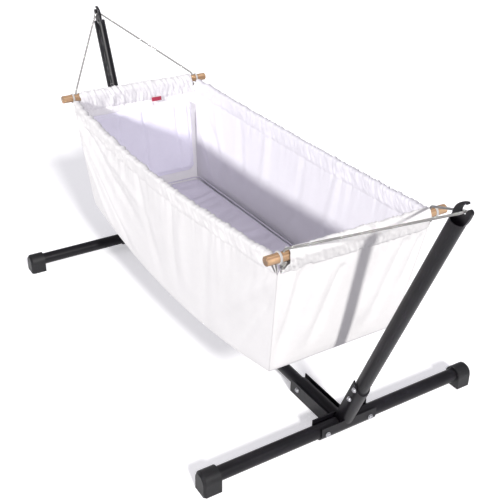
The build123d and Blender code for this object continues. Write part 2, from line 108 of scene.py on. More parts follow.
# ---- finishes -------------------------------------------------------------------
class Finish:
    """A node material under construction, with short ways to add and join nodes."""

    def __init__(self, name: str) -> None:
        """Starts an empty material with an output.

        Args:
            name: material name.
        """
        self.material = bpy.data.materials.new(name)
        self.material.use_nodes = True
        self.tree = self.material.node_tree
        self.tree.nodes.clear()
        self.output = self.tree.nodes.new("ShaderNodeOutputMaterial")

    def add(self, kind: str, inputs: dict | None = None, **props: object) -> bpy.types.Node:
        """Adds one node.

        Args:
            kind: node type.
            inputs: values or output sockets by input name or number.
            props: plain properties of the node.

        Returns:
            The new node.
        """
        node = self.tree.nodes.new(kind)
        for key, value in props.items():
            setattr(node, key, value)
        for key, value in (inputs or {}).items():
            if isinstance(value, Socket):
                self.tree.links.new(value, node.inputs[key])
            else:
                node.inputs[key].default_value = value
        return node

    def math(self, operation: str, a: object, b: object = 0.0) -> Socket:
        """Adds a math node and returns its output socket."""
        return self.add("ShaderNodeMath", {0: a, 1: b}, operation=operation).outputs[0]

    def place(self, scale: Triple = (1, 1, 1), uv: bool = False) -> Socket:
        """Object coordinates, or the piece's own flat map, scaled.

        Args:
            scale: scale on each axis.
            uv: true for the flat map.

        Returns:
            The vector socket.
        """
        source = self.add("ShaderNodeTexCoord").outputs["UV" if uv else "Object"]
        return self.add("ShaderNodeMapping", {"Vector": source, "Scale": scale}).outputs[0]

    def noise(self, vector: object, scale: float, detail: float = 3.0, rough: float = 0.55) -> Socket:
        """Adds a noise texture and returns its factor."""
        inputs = {"Vector": vector, "Scale": scale, "Detail": detail, "Roughness": rough}
        return self.add("ShaderNodeTexNoise", inputs).outputs["Fac"]

    def mix(self, a: Socket, b: Socket, share: float) -> Socket:
        """Adds two factors, the first with its share of one."""
        return self.math("ADD", self.math("MULTIPLY", a, share), self.math("MULTIPLY", b, 1 - share))

    def ramp(self, factor: object, *stops: tuple[float, Triple]) -> Socket:
        """Adds a colour ramp.

        Args:
            factor: input factor.
            stops: positions with their colours.

        Returns:
            The colour socket.
        """
        node = self.add("ShaderNodeValToRGB", {"Fac": factor})
        elements = node.color_ramp.elements
        while len(elements) < len(stops):
            elements.new(1.0)
        for element, (position, colour) in zip(elements, stops):
            element.position = position
            element.color = (*colour, 1.0)
        return node.outputs["Color"]

    def span(self, factor: object, low: float, high: float) -> Socket:
        """Maps a factor from 0..1 to low..high."""
        return self.add("ShaderNodeMapRange", {"Value": factor, "To Min": low, "To Max": high}).outputs[0]

    def bump(self, height: object, distance: float, strength: float, under: object = None) -> Socket:
        """Adds a bump node.

        Args:
            height: height factor.
            distance: height in metres of a factor of one.
            strength: strength of the effect.
            under: normal of a bump below this one.

        Returns:
            The normal socket.
        """
        inputs = {"Height": height, "Distance": distance, "Strength": strength}
        if under is not None:
            inputs["Normal"] = under
        return self.add("ShaderNodeBump", inputs).outputs[0]

    def surface(self, colour: object, roughness: object, normal: object, **constants: object) -> Material:
        """Closes the material with its shader.

        Args:
            colour: base colour.
            roughness: roughness.
            normal: normal socket.
            constants: other sockets of the shader, with underscores for spaces.

        Returns:
            The finished material.
        """
        inputs = {"Base Color": colour, "Roughness": roughness, "Normal": normal}
        inputs.update({key.replace("_", " "): value for key, value in constants.items()})
        shader = self.add("ShaderNodeBsdfPrincipled", inputs)
        self.tree.links.new(shader.outputs[0], self.output.inputs["Surface"])
        return self.material


@dataclass(frozen=True)
class PowderCoat:
    """Satin powder coat on steel, with a fine orange peel and edges lightened in patches, partly as worn
    paint and partly as a painted highlight.
    """

    name: str = "black powder coat"
    dark: Triple = (0.0040, 0.0036, 0.0050)
    light: Triple = (0.0085, 0.0078, 0.0105)
    rubbed: Triple = (0.055, 0.052, 0.060)
    edge_width: float = 0.0011
    edge_gain: float = 5.0
    most_wear: float = 0.8
    peel_scale: float = 900.0
    peel_height: float = 0.00003
    gloss: tuple[float, float] = (0.30, 0.42)

    def build(self) -> Material:
        """Makes the material."""
        f = Finish(self.name)
        at = f.place()
        clouds = f.noise(at, 14.0, 4.0)
        peel = f.noise(at, self.peel_scale, 2.0)
        colour = f.ramp(clouds, (0.3, self.dark), (0.7, self.light))
        # Edge mask: the edges are lightened in patches, partly as worn paint and partly as a painted
        # highlight.
        normals = {
            0: f.add("ShaderNodeBevel", {"Radius": self.edge_width}, samples=4).outputs[0],
            1: f.add("ShaderNodeNewGeometry").outputs["True Normal"],
        }
        dot = f.add("ShaderNodeVectorMath", normals, operation="DOT_PRODUCT").outputs["Value"]
        edge = f.math("MULTIPLY", f.math("SUBTRACT", 1.0, dot), self.edge_gain)
        patches = f.ramp(f.noise(at, 160.0), (0.45, (0, 0, 0)), (0.62, (1, 1, 1)))
        wear_and_highlight = f.math("MINIMUM", f.math("MULTIPLY", edge, patches), self.most_wear)
        mixed = f.add("ShaderNodeMix", {"Factor": wear_and_highlight, 6: colour, 7: (*self.rubbed, 1.0)}, data_type="RGBA")
        roughness = f.span(f.noise(at, 60.0), *self.gloss)
        normal = f.bump(peel, self.peel_height, 0.5)
        return f.surface(mixed.outputs[2], roughness, normal, Specular_IOR_Level=0.24)


@dataclass(frozen=True)
class MouldedPlastic:
    """Black moulded plastic with a fine spark-eroded grain."""

    name: str = "moulded black plastic"
    dark: Triple = (0.007, 0.007, 0.008)
    light: Triple = (0.015, 0.015, 0.017)
    grain_scale: float = 1500.0
    grain_height: float = 0.00006
    scuff_stretch: Triple = (40, 8, 40)
    gloss: tuple[float, float] = (0.38, 0.58)

    def build(self) -> Material:
        """Makes the material."""
        f = Finish(self.name)
        grain = f.noise(f.place(), self.grain_scale, 2.0)
        scuffs = f.noise(f.place(self.scuff_stretch), 3.0, 5.0, 0.7)
        colour = f.ramp(scuffs, (0.35, self.dark), (0.75, self.light))
        normal = f.bump(grain, self.grain_height, 0.7)
        return f.surface(colour, f.span(scuffs, *self.gloss), normal, Specular_IOR_Level=0.3)


@dataclass(frozen=True)
class Metal:
    """Plated or blackened steel of the fasteners, faintly turned."""

    name: str
    colour: Triple
    shade: Triple
    metallic: float
    smooth: float
    uneven: float = 0.18
    spot_scale: float = 420.0
    turning: Triple = (900, 900, 120)
    turning_height: float = 0.00002

    def build(self) -> Material:
        """Makes the material."""
        f = Finish(self.name)
        spots = f.noise(f.place(), self.spot_scale, 4.0, 0.6)
        turned = f.noise(f.place(self.turning), 1.0, 2.0)
        colour = f.ramp(spots, (0.35, self.shade), (0.65, self.colour))
        roughness = f.span(spots, self.smooth, self.smooth + self.uneven)
        return f.surface(colour, roughness, f.bump(turned, self.turning_height, 0.5), Metallic=self.metallic)


@dataclass(frozen=True)
class OiledWood:
    """Light oiled hardwood dowel, grain along Y, with rings on the sawn ends."""

    centre: tuple[float, float]
    name: str = "oiled light wood"
    pale: Triple = (0.47, 0.30, 0.17)
    dark: Triple = (0.25, 0.14, 0.07)
    pith: tuple[float, float] = (-0.004, 0.003)
    along_shrink: float = 0.04
    ring_scale: float = 150.0
    ring_wander: float = 0.004
    fibre_stretch: Triple = (1700, 45, 1700)
    fibre_height: float = 0.00008
    ring_share: float = 0.55

    def build(self) -> Material:
        """Makes the material."""
        f = Finish(self.name)
        parts = f.add("ShaderNodeSeparateXYZ", {0: f.add("ShaderNodeTexCoord").outputs["Object"]})
        across = f.math("SUBTRACT", f.math("ABSOLUTE", parts.outputs[0]), self.centre[0] + self.pith[0])
        up = f.math("SUBTRACT", parts.outputs[2], self.centre[1] + self.pith[1])
        along = f.math("MULTIPLY", parts.outputs[1], self.along_shrink)
        at = f.add("ShaderNodeCombineXYZ", {0: across, 1: along, 2: up}).outputs[0]
        bend = f.add("ShaderNodeTexNoise", {"Vector": at, "Scale": 90.0, "Detail": 2.0}).outputs["Color"]
        wander = {0: bend, 1: (self.ring_wander,) * 3}
        shift = f.add("ShaderNodeVectorMath", wander, operation="MULTIPLY").outputs[0]
        bent = f.add("ShaderNodeVectorMath", {0: at, 1: shift}, operation="ADD").outputs[0]
        rings = f.add(
            "ShaderNodeTexWave",
            {"Vector": bent, "Scale": self.ring_scale, "Distortion": 1.2, "Detail": 2.0, "Detail Scale": 2.0},
            wave_type="RINGS", rings_direction="Y",
        ).outputs["Fac"]
        fibres = f.noise(f.place(self.fibre_stretch), 1.0, 3.0, 0.6)
        tone = f.mix(rings, fibres, self.ring_share)
        middle = tuple((a + b) / 2 for a, b in zip(self.pale, self.dark))
        colour = f.ramp(tone, (0.2, self.dark), (0.45, middle), (0.75, self.pale))
        normal = f.bump(fibres, self.fibre_height, 0.6)
        return f.surface(colour, f.span(fibres, 0.42, 0.6), normal, Coat_Weight=0.08, Coat_Roughness=0.35)


@dataclass(frozen=True)
class WovenCotton:
    """Plain-woven cotton: yarns over and under, slubs, a soft nap and small creases."""

    name: str
    colour: Triple
    shade: Triple
    pitch: float = 0.0009
    crease: float = 0.0006
    yarn_height: float = 0.00018
    slub_stretch: tuple[float, float] = (60, 1100)
    crease_scale: float = 38.0
    gloss: tuple[float, float] = (0.95, 0.80)

    def build(self) -> Material:
        """Makes the material."""
        f = Finish(self.name)
        at = f.place((1.0 / self.pitch,) * 3, uv=True)
        parts = f.add("ShaderNodeSeparateXYZ", {0: at})
        warp, weft = (
            f.math("ABSOLUTE", f.math("SINE", f.math("MULTIPLY", parts.outputs[axis], pi))) for axis in (0, 1)
        )
        over = f.add("ShaderNodeTexChecker", {"Vector": at, "Scale": 1.0}).outputs["Fac"]
        weave = f.add("ShaderNodeMix", {"Factor": over, 2: warp, 3: weft}).outputs[0]
        long, fine = self.slub_stretch
        slub_u = f.noise(f.place((long, fine, 1), uv=True), 1.0, 2.0)
        slub_v = f.noise(f.place((fine, long, 1), uv=True), 1.0, 2.0)
        slub = f.math("MULTIPLY", f.math("ADD", slub_u, slub_v), 0.5)
        clouds = f.noise(f.place(uv=True), 9.0, 4.0)
        colour = f.ramp(f.mix(slub, clouds, 0.5), (0.36, self.shade), (0.58, self.colour))
        creases = f.noise(f.place(uv=True), self.crease_scale, 4.0, 0.5)
        normal = f.bump(weave, self.yarn_height, 0.5, f.bump(creases, self.crease * 4, 0.35))
        return f.surface(
            colour, f.span(weave, *self.gloss), normal,
            Sheen_Weight=0.22, Sheen_Roughness=0.55, Specular_IOR_Level=0.22,
        )


@dataclass(frozen=True)
class BraidedCord:
    """Braided cotton cord, its plaits crossing round it, darker in the grooves between plaits as painted
    shade.
    """

    name: str = "braided cotton cord"
    # Mid grey for a pale cord: painted shade on its strands.
    colour: Triple = (0.36, 0.355, 0.345)
    # shade: colour of the grooves between plaits, painted shade.
    shade: Triple = (0.13, 0.125, 0.12)
    plait: float = 0.0042
    plait_height: float = 0.0005
    fuzz_scale: float = 1600.0
    plait_share: float = 0.7

    def build(self) -> Material:
        """Makes the material."""
        f = Finish(self.name)
        parts = f.add("ShaderNodeSeparateXYZ", {0: f.add("ShaderNodeTexCoord").outputs["UV"]})
        turn = f.math("MULTIPLY", parts.outputs[1], STRANDS * 2 * pi)
        run = f.math("MULTIPLY", parts.outputs[0], 2 * pi / self.plait)
        one, two = (f.math("SINE", f.math(way, run, turn)) for way in ("ADD", "SUBTRACT"))
        cross = f.math("ABSOLUTE", f.math("MULTIPLY", one, two))
        fuzz = f.noise(f.place(), self.fuzz_scale, 3.0)
        tone = f.mix(cross, fuzz, self.plait_share)
        # The grooves between plaits take the darker colour as painted shade, broken by random fuzz.
        colour = f.ramp(tone, (0.08, self.shade), (0.34, self.colour))
        normal = f.bump(tone, self.plait_height, 0.6)
        return f.surface(colour, f.span(fuzz, 0.75, 0.95), normal, Sheen_Weight=0.2, Specular_IOR_Level=0.2)


@dataclass(frozen=True)
class PlainPaper:
    """The pale studio floor, which glows a little so that its far parts stay pale."""

    name: str = "pale studio floor"
    dark: Triple = (0.90, 0.90, 0.905)
    light: Triple = (0.915, 0.915, 0.92)
    glow: Triple = (0.98, 0.98, 1.0)
    glow_strength: float = 0.36

    def build(self) -> Material:
        """Makes the material."""
        f = Finish(self.name)
        speck = f.noise(f.place(), 300.0, 2.0)
        colour = f.ramp(speck, (0.3, self.dark), (0.7, self.light))
        return f.surface(
            colour, 0.9, f.bump(speck, 0.0001, 0.2), Specular_IOR_Level=0.0,
            Emission_Color=(*self.glow, 1.0), Emission_Strength=self.glow_strength,
        )


class Wardrobe:
    """All finishes, made once."""

    def __init__(self) -> None:
        """Builds every material of the cradle."""
        rod = Spot.of("foot_rod").middle
        self.steel = PowderCoat().build()
        self.black = Metal("blackened steel", (0.030, 0.030, 0.034), (0.015, 0.015, 0.017), 0.4, 0.32).build()
        self.plated = Metal("plated steel", (0.60, 0.60, 0.62), (0.40, 0.40, 0.43), 1.0, 0.26).build()
        self.plastic = MouldedPlastic().build()
        self.wood = OiledWood((rod.x, rod.z)).build()
        self.cotton, self.lining, self.quilt, self.mattress, self.thread, self.tag = (
            WovenCotton(*look).build() for look in (
                ("white cotton canvas", (0.90, 0.89, 0.885), (0.85, 0.84, 0.835)),
                # The far side's white cotton is tinted lavender: painted shade of the basket's inside.
                ("white cotton, cool side", (0.90, 0.885, 0.935), (0.86, 0.845, 0.895)),
                # The bumper's white cover is tinted lavender: painted shade.
                ("soft cotton cover", (0.84, 0.82, 0.92), (0.79, 0.77, 0.87), 0.0006, 0.0009),
                # The mattress cover is darkened and tinted lavender: painted shade inside the basket.
                ("mattress cover", (0.66, 0.63, 0.72), (0.60, 0.57, 0.66), 0.0006, 0.0012),
                ("sewing thread", (0.86, 0.85, 0.84), (0.72, 0.71, 0.70), 0.0003),
                ("red ribbon", (0.42, 0.035, 0.075), (0.30, 0.02, 0.05), 0.0005),
            )
        )
        # The sling cord keeps the mid grey of painted shade; the drawcord is white.
        self.cord = BraidedCord().build()
        self.drawcord = BraidedCord("white drawcord", (0.80, 0.79, 0.77), (0.50, 0.49, 0.48), 0.0030).build()
        self.floor = PlainPaper().build()


# ---- making meshes ------------------------------------------------------------------
@dataclass(frozen=True)
class Spot:
    """Where a CAD node is: its lowest and highest corners."""

    low: Vector
    high: Vector

    @classmethod
    def of(cls, node: str) -> "Spot":
        """Reads a node's box."""
        return cls(*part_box(node))

    @property
    def middle(self) -> Vector:
        """Middle of the box."""
        return (self.low + self.high) / 2


def keep(value: float, low: float = 0.0, high: float = 1.0) -> float:
    """Holds a value between two limits."""
    return max(low, min(high, value))


def ease(value: float) -> float:
    """Smooth step from 0 to 1."""
    t = keep(value)
    return t * t * (3 - 2 * t)


def blend(a: float, b: float, t: float) -> float:
    """Value between a and b."""
    return a + (b - a) * t


def rumple(x: float, y: float, seed: float) -> float:
    """Smooth noise from about -1 to 1 at a place."""
    return noise.noise(Vector((x, y, seed)))


def cloth_grid(
    steps: tuple[int, int], spread: Callable[[float, float], Vector], flat: tuple[float, float],
    close: bool = False,
) -> Draft:
    """Lays a grid over a surface, with a flat map in metres.

    Args:
        steps: faces along and across.
        spread: gives the place of a point from two numbers, each from 0 to 1.
        flat: size of the flat map along and across.
        close: joins the last row to the first.

    Returns:
        The mesh under construction.
    """
    bm = bmesh.new()
    bmesh.ops.create_grid(bm, x_segments=steps[0], y_segments=steps[1], size=0.5)
    layer = bm.loops.layers.uv.new("flat")
    for face in bm.faces:
        for loop in face.loops:
            loop[layer].uv = ((loop.vert.co.x + 0.5) * flat[0], (loop.vert.co.y + 0.5) * flat[1])
    for vert in bm.verts:
        vert.co = spread(vert.co.x + 0.5, vert.co.y + 0.5)
    if close:
        bmesh.ops.remove_doubles(bm, verts=bm.verts, dist=TOUCHING)
    return bm


def finish_piece(
    name: str, bm: Draft, material: Material, nodes: Iterable[str] = (), body: str = "cradle",
    smooth: bool = True,
) -> Piece:
    """Turns a mesh under construction into a piece that rides on a body.

    Args:
        name: piece name.
        bm: mesh under construction, freed here.
        material: its finish.
        nodes: CAD nodes that it stands for.
        body: CAD body that it rides on, or nothing for the stage.
        smooth: smooth shading.

    Returns:
        The finished piece.
    """
    if body:
        bmesh.ops.recalc_face_normals(bm, faces=bm.faces)
    for face in bm.faces:
        face.smooth = smooth
    mesh = bpy.data.meshes.new(name)
    bm.to_mesh(mesh)
    bm.free()
    mesh.materials.append(material)
    piece = bpy.data.objects.new(name, mesh)
    bpy.context.scene.collection.objects.link(piece)
    if body:
        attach(piece, body)
    if nodes:
        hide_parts(*nodes)
    return piece


def paint(node: str, material: Material) -> None:
    """Gives a CAD node its finish."""
    slots = frame["nodes"][node].material_slots
    for slot in slots:
        slot.material = material
    if not slots:
        frame["nodes"][node].data.materials.append(material)


def stamp(target: Draft, part: Draft, place: Matrix | None = None) -> None:
    """Adds a part to a mesh under construction and frees the part.

    Args:
        target: mesh that gets it.
        part: the part.
        place: where it goes, or none when it is already there.
    """
    if place is not None:
        bmesh.ops.transform(part, matrix=place, verts=part.verts)
    mesh = bpy.data.meshes.new("part")
    part.to_mesh(mesh)
    part.free()
    target.from_mesh(mesh)
    bpy.data.meshes.remove(mesh)


def round_off(bm: Draft, edges: Iterable[bmesh.types.BMEdge], width: float, segments: int = 2) -> None:
    """Rounds edges of a mesh under construction."""
    bmesh.ops.bevel(
        bm, geom=list(edges), offset=width, segments=segments, affect="EDGES", profile=0.5, material=-1
    )


def thicken(piece: Piece, thickness: float, offset: float = 0.0) -> Piece:
    """Gives a single layer of cloth its thickness."""
    solid = piece.modifiers.new("thickness", "SOLIDIFY")
    solid.thickness = thickness
    solid.offset = offset
    return piece


def facing(direction: Vector) -> Matrix:
    """Turn that takes +Z to a direction."""
    return direction.to_track_quat("Z", "Y").to_matrix().to_4x4()


def runs(points: list[Vector]) -> list[float]:
    """Distance along a line at each of its points."""
    lengths = [0.0]
    for a, b in zip(points, points[1:]):
        lengths.append(lengths[-1] + (b - a).length)
    return lengths


def tube_along(
    path: list[Vector], radius: float, sides: int = 14, plait: float = 0.0042, relief: float = 0.06
) -> Draft:
    """Braided round cord along a smooth path.

    Args:
        path: points that it follows.
        radius: its radius.
        sides: faces round it.
        plait: length of one plait.
        relief: how deep the plaits are, as a part of the radius.

    Returns:
        The mesh under construction.
    """
    count = len(path) - 1
    ahead = [(path[min(i + 1, count)] - path[max(i - 1, 0)]).normalized() for i in range(count + 1)]
    lengths = runs(path)
    side = ahead[0].orthogonal().normalized()
    sideways = []
    for direction in ahead:
        side = (side - direction * side.dot(direction)).normalized()
        sideways.append(side)

    def spread(u: float, v: float) -> Vector:
        """Point on the cord's surface."""
        i = round(u * count)
        angle = 2 * pi * v
        run = 2 * pi * lengths[i] / plait
        turn = STRANDS * angle
        reach = radius * (1 - relief + relief * abs(sin(run + turn) * sin(run - turn)))
        up = ahead[i].cross(sideways[i])
        return path[i] + (sideways[i] * cos(angle) + up * sin(angle)) * reach

    bm = cloth_grid((count, sides), spread, (lengths[-1], 1.0), close=True)
    rims = [edge for edge in bm.edges if edge.is_boundary]
    if rims:
        bmesh.ops.edgeloop_fill(bm, edges=rims)
    return bm


def even_points(points: list[Vector], gap: float) -> list[Vector]:
    """Spaces points evenly along a line that is already smooth.

    Args:
        points: dense points of the line.
        gap: distance wanted between points.

    Returns:
        The evenly spaced points.
    """
    lengths = runs(points)
    count = max(2, round(lengths[-1] / gap))
    result = []
    i = 0
    for k in range(count + 1):
        target = lengths[-1] * k / count
        while i < len(points) - 2 and lengths[i + 1] < target:
            i += 1
        part = (target - lengths[i]) / max(lengths[i + 1] - lengths[i], 1e-9)
        result.append(points[i].lerp(points[i + 1], keep(part)))
    return result


def read_route(name: str, control: Iterable[Triple]) -> list[Vector]:
    """Smooth line through a route's control points.

    Args:
        name: name for the temporary curve.
        control: the route's points.

    Returns:
        Points read from the route's smooth spline.
    """
    data = bpy.data.curves.new(name, "CURVE")
    data.dimensions = "3D"
    data.resolution_u = 48
    spline = data.splines.new("NURBS")
    control = list(control)
    spline.points.add(len(control) - 1)
    for point, place in zip(spline.points, control):
        point.co = (*place, 1.0)
    spline.order_u = 3
    spline.use_endpoint_u = True
    holder = bpy.data.objects.new(name, data)
    bpy.context.scene.collection.objects.link(holder)
    mesh = bpy.data.meshes.new_from_object(holder)
    points = [vertex.co.copy() for vertex in mesh.vertices]
    bpy.data.objects.remove(holder)
    bpy.data.meshes.remove(mesh)
    return points


# ---- studio -------------------------------------------------------------------------
@dataclass
class Studio:
    """Camera, lights and the pale floor."""

    place: Triple = (1.6222, -0.9552, 1.2605)
    yaw: float = 147.73
    pitch: float = -29.03
    roll: float = 1.05
    lens: float = 60.75
    sensor: float = 36.0
    floor_half: float = 14.0
    air: Triple = (0.95, 0.925, 1.0)
    air_strength: float = 0.50

    def camera(self) -> None:
        """Sets up the camera."""
        yaw, pitch, roll = (radians(angle) for angle in (self.yaw, self.pitch, self.roll))
        forward = Vector((cos(yaw) * cos(pitch), sin(yaw) * cos(pitch), sin(pitch)))
        right = forward.cross(UP).normalized()
        up = right.cross(forward)
        across = right * cos(roll) + up * sin(roll)
        upward = up * cos(roll) - right * sin(roll)
        data = bpy.data.cameras.new("camera")
        data.lens = self.lens
        data.sensor_width = self.sensor
        camera = bpy.data.objects.new("camera", data)
        turn = Matrix((across, upward, -forward)).transposed().to_4x4()
        camera.matrix_world = Matrix.Translation(self.place) @ turn
        bpy.context.scene.collection.objects.link(camera)
        bpy.context.scene.camera = camera

    def sun(self, name: str, travel: Triple, strength: float, spread: float, colour: Triple,
            shadow: bool = True) -> Piece:
        """Adds one soft distant light.

        Args:
            name: light name.
            travel: direction in which the light travels.
            strength: its strength.
            spread: its angle, in degrees, which softens the shadows.
            colour: its colour.
            shadow: whether it casts shadows.

        Returns:
            The light's object.
        """
        data = bpy.data.lights.new(name, "SUN")
        data.energy = strength
        data.angle = radians(spread)
        data.color = colour
        data.use_shadow = shadow
        light = bpy.data.objects.new(name, data)
        light.matrix_world = facing(-Vector(travel))
        bpy.context.scene.collection.objects.link(light)
        return light

    def lights(self) -> list[Piece]:
        """Adds the pale surroundings and the lights, and returns the lights."""
        world = bpy.data.worlds.new("studio")
        bpy.context.scene.world = world
        world.use_nodes = True
        background = world.node_tree.nodes["Background"]
        background.inputs["Color"].default_value = (*self.air, 1.0)
        background.inputs["Strength"].default_value = self.air_strength
        bpy.context.scene.view_settings.view_transform = "Standard"
        from_near = (-0.42, 0.83, -0.37)
        return [self.sun(*look) for look in (
            ("near light", from_near, 2.4, 5.0, (1.0, 0.99, 0.98)),
            ("foot light", (-0.83, 0.083, -0.55), 3.2, 3.2, (1.0, 0.985, 0.965)),
            ("head light", from_near, 1.35, 5.0, (1.0, 0.99, 0.98)),
            ("inside fill", (-0.92, 0.12, -0.30), 0.95, 4.0, (0.95, 0.93, 1.0), False),
            ("floor light", (-0.80, 0.15, -0.50), 3.8, 8.0, (1.0, 0.99, 0.97)),
        )]

    def floor(self, material: Material) -> Piece:
        """Lays the plain floor, which throws no light back on the cradle.

        Args:
            material: its finish.

        Returns:
            The floor.
        """
        bm = bmesh.new()
        bmesh.ops.create_grid(bm, x_segments=8, y_segments=8, size=self.floor_half)
        floor = finish_piece("studio_floor", bm, material, body="")
        floor.visible_diffuse = False
        return floor


# ---- sling cords ---------------------------------------------------------------------
@dataclass
class Sling:
    """The cord at one end: from a knot under the rod, over the hook and back down to the rod."""

    end: End
    diameter: float = 0.005
    length: float = 0.7752
    hole_y: float = 0.180
    rod_x: float = 0.510
    rod_low_z: float = 0.487
    hook_x: float = 0.76044
    hook_z: float = 0.65082
    hook_half: float = 0.008
    point_gap: float = 0.0011
    knot_size: float = 0.00138
    knot_steps: int = 120
    knot_cord_r: float = 0.0024
    whipping: float = 0.005
    whipping_up: float = 0.0022
    whipping_r: tuple[float, float] = (0.00285, 0.00275)

    def control(self) -> list[Triple]:
        """The route's points, near side first, with one more on each side of the long straight runs."""
        x = self.end.value
        near = [(x * self.rod_x, -self.hole_y, z) for z in (0.4647, 0.500, 0.512)]
        near += [(x * 0.53206, -0.16485, 0.52423), (x * 0.73793, -0.02345, 0.63835)]
        near += [(x * 0.75444, -0.01212, 0.64749), (x * self.hook_x, -self.hook_half, self.hook_z)]
        return [*near, (x * self.hook_x, 0.0, self.hook_z), *((a, -y, z) for a, y, z in reversed(near))]

    def build(self, dress: Wardrobe) -> Piece:
        """Makes the cord with its two knots.

        Args:
            dress: the finishes.

        Returns:
            The cord.
        """
        label = self.end.label
        path = even_points(read_route(f"{label}_route", self.control()), self.point_gap)
        bm = tube_along(path, self.diameter / 2)
        cord = finish_piece(f"{label}_sling", bm, dress.cord, [f"{label}_sling_cord"])
        knots = [self.knot(side, dress) for side in Side]
        tips = [self.tip(side, path, dress) for side in Side]
        return cord

    def knot(self, side: Side, dress: Wardrobe) -> Piece:
        """Overhand stopper knot under the rod.

        Args:
            side: which side it is on.
            dress: the finishes.

        Returns:
            The knot.
        """
        node = f"{self.end.label}_knot_{side.label}"
        centre = Spot.of(node).middle
        path = []
        for k in range(self.knot_steps + 1):
            t = 2 * pi * k / self.knot_steps
            loop = Vector((sin(t) + 2 * sin(2 * t), cos(t) - 2 * cos(2 * t), -sin(3 * t) * 1.25))
            path.append(centre + loop * self.knot_size)
        bm = tube_along(path, self.knot_cord_r, 12)
        bmesh.ops.remove_doubles(bm, verts=bm.verts, dist=10 * TOUCHING)
        name = f"{self.end.label}_stopper_knot_{side.label}"
        return finish_piece(name, bm, dress.cord, [node])

    def tip(self, side: Side, path: list[Vector], dress: Wardrobe) -> Piece:
        """Whipping of thread on the cord's cut end.

        Args:
            side: which side it is on.
            path: the cord's line.
            dress: the finishes.

        Returns:
            The whipping.
        """
        ends = path[:3] if side is Side.NEAR else path[:-4:-1]
        along = (ends[2] - ends[0]).normalized()
        bm = bmesh.new()
        low_r, high_r = self.whipping_r
        bmesh.ops.create_cone(
            bm, cap_ends=True, segments=18, radius1=low_r, radius2=high_r, depth=self.whipping,
            matrix=Matrix.Translation(ends[0] + along * self.whipping_up) @ facing(along),
        )
        rims = [e for e in bm.edges if any(len(f.verts) > 4 for f in e.link_faces)]
        round_off(bm, rims, 0.0007)
        return finish_piece(f"{self.end.label}_whipping_{side.label}", bm, dress.thread)


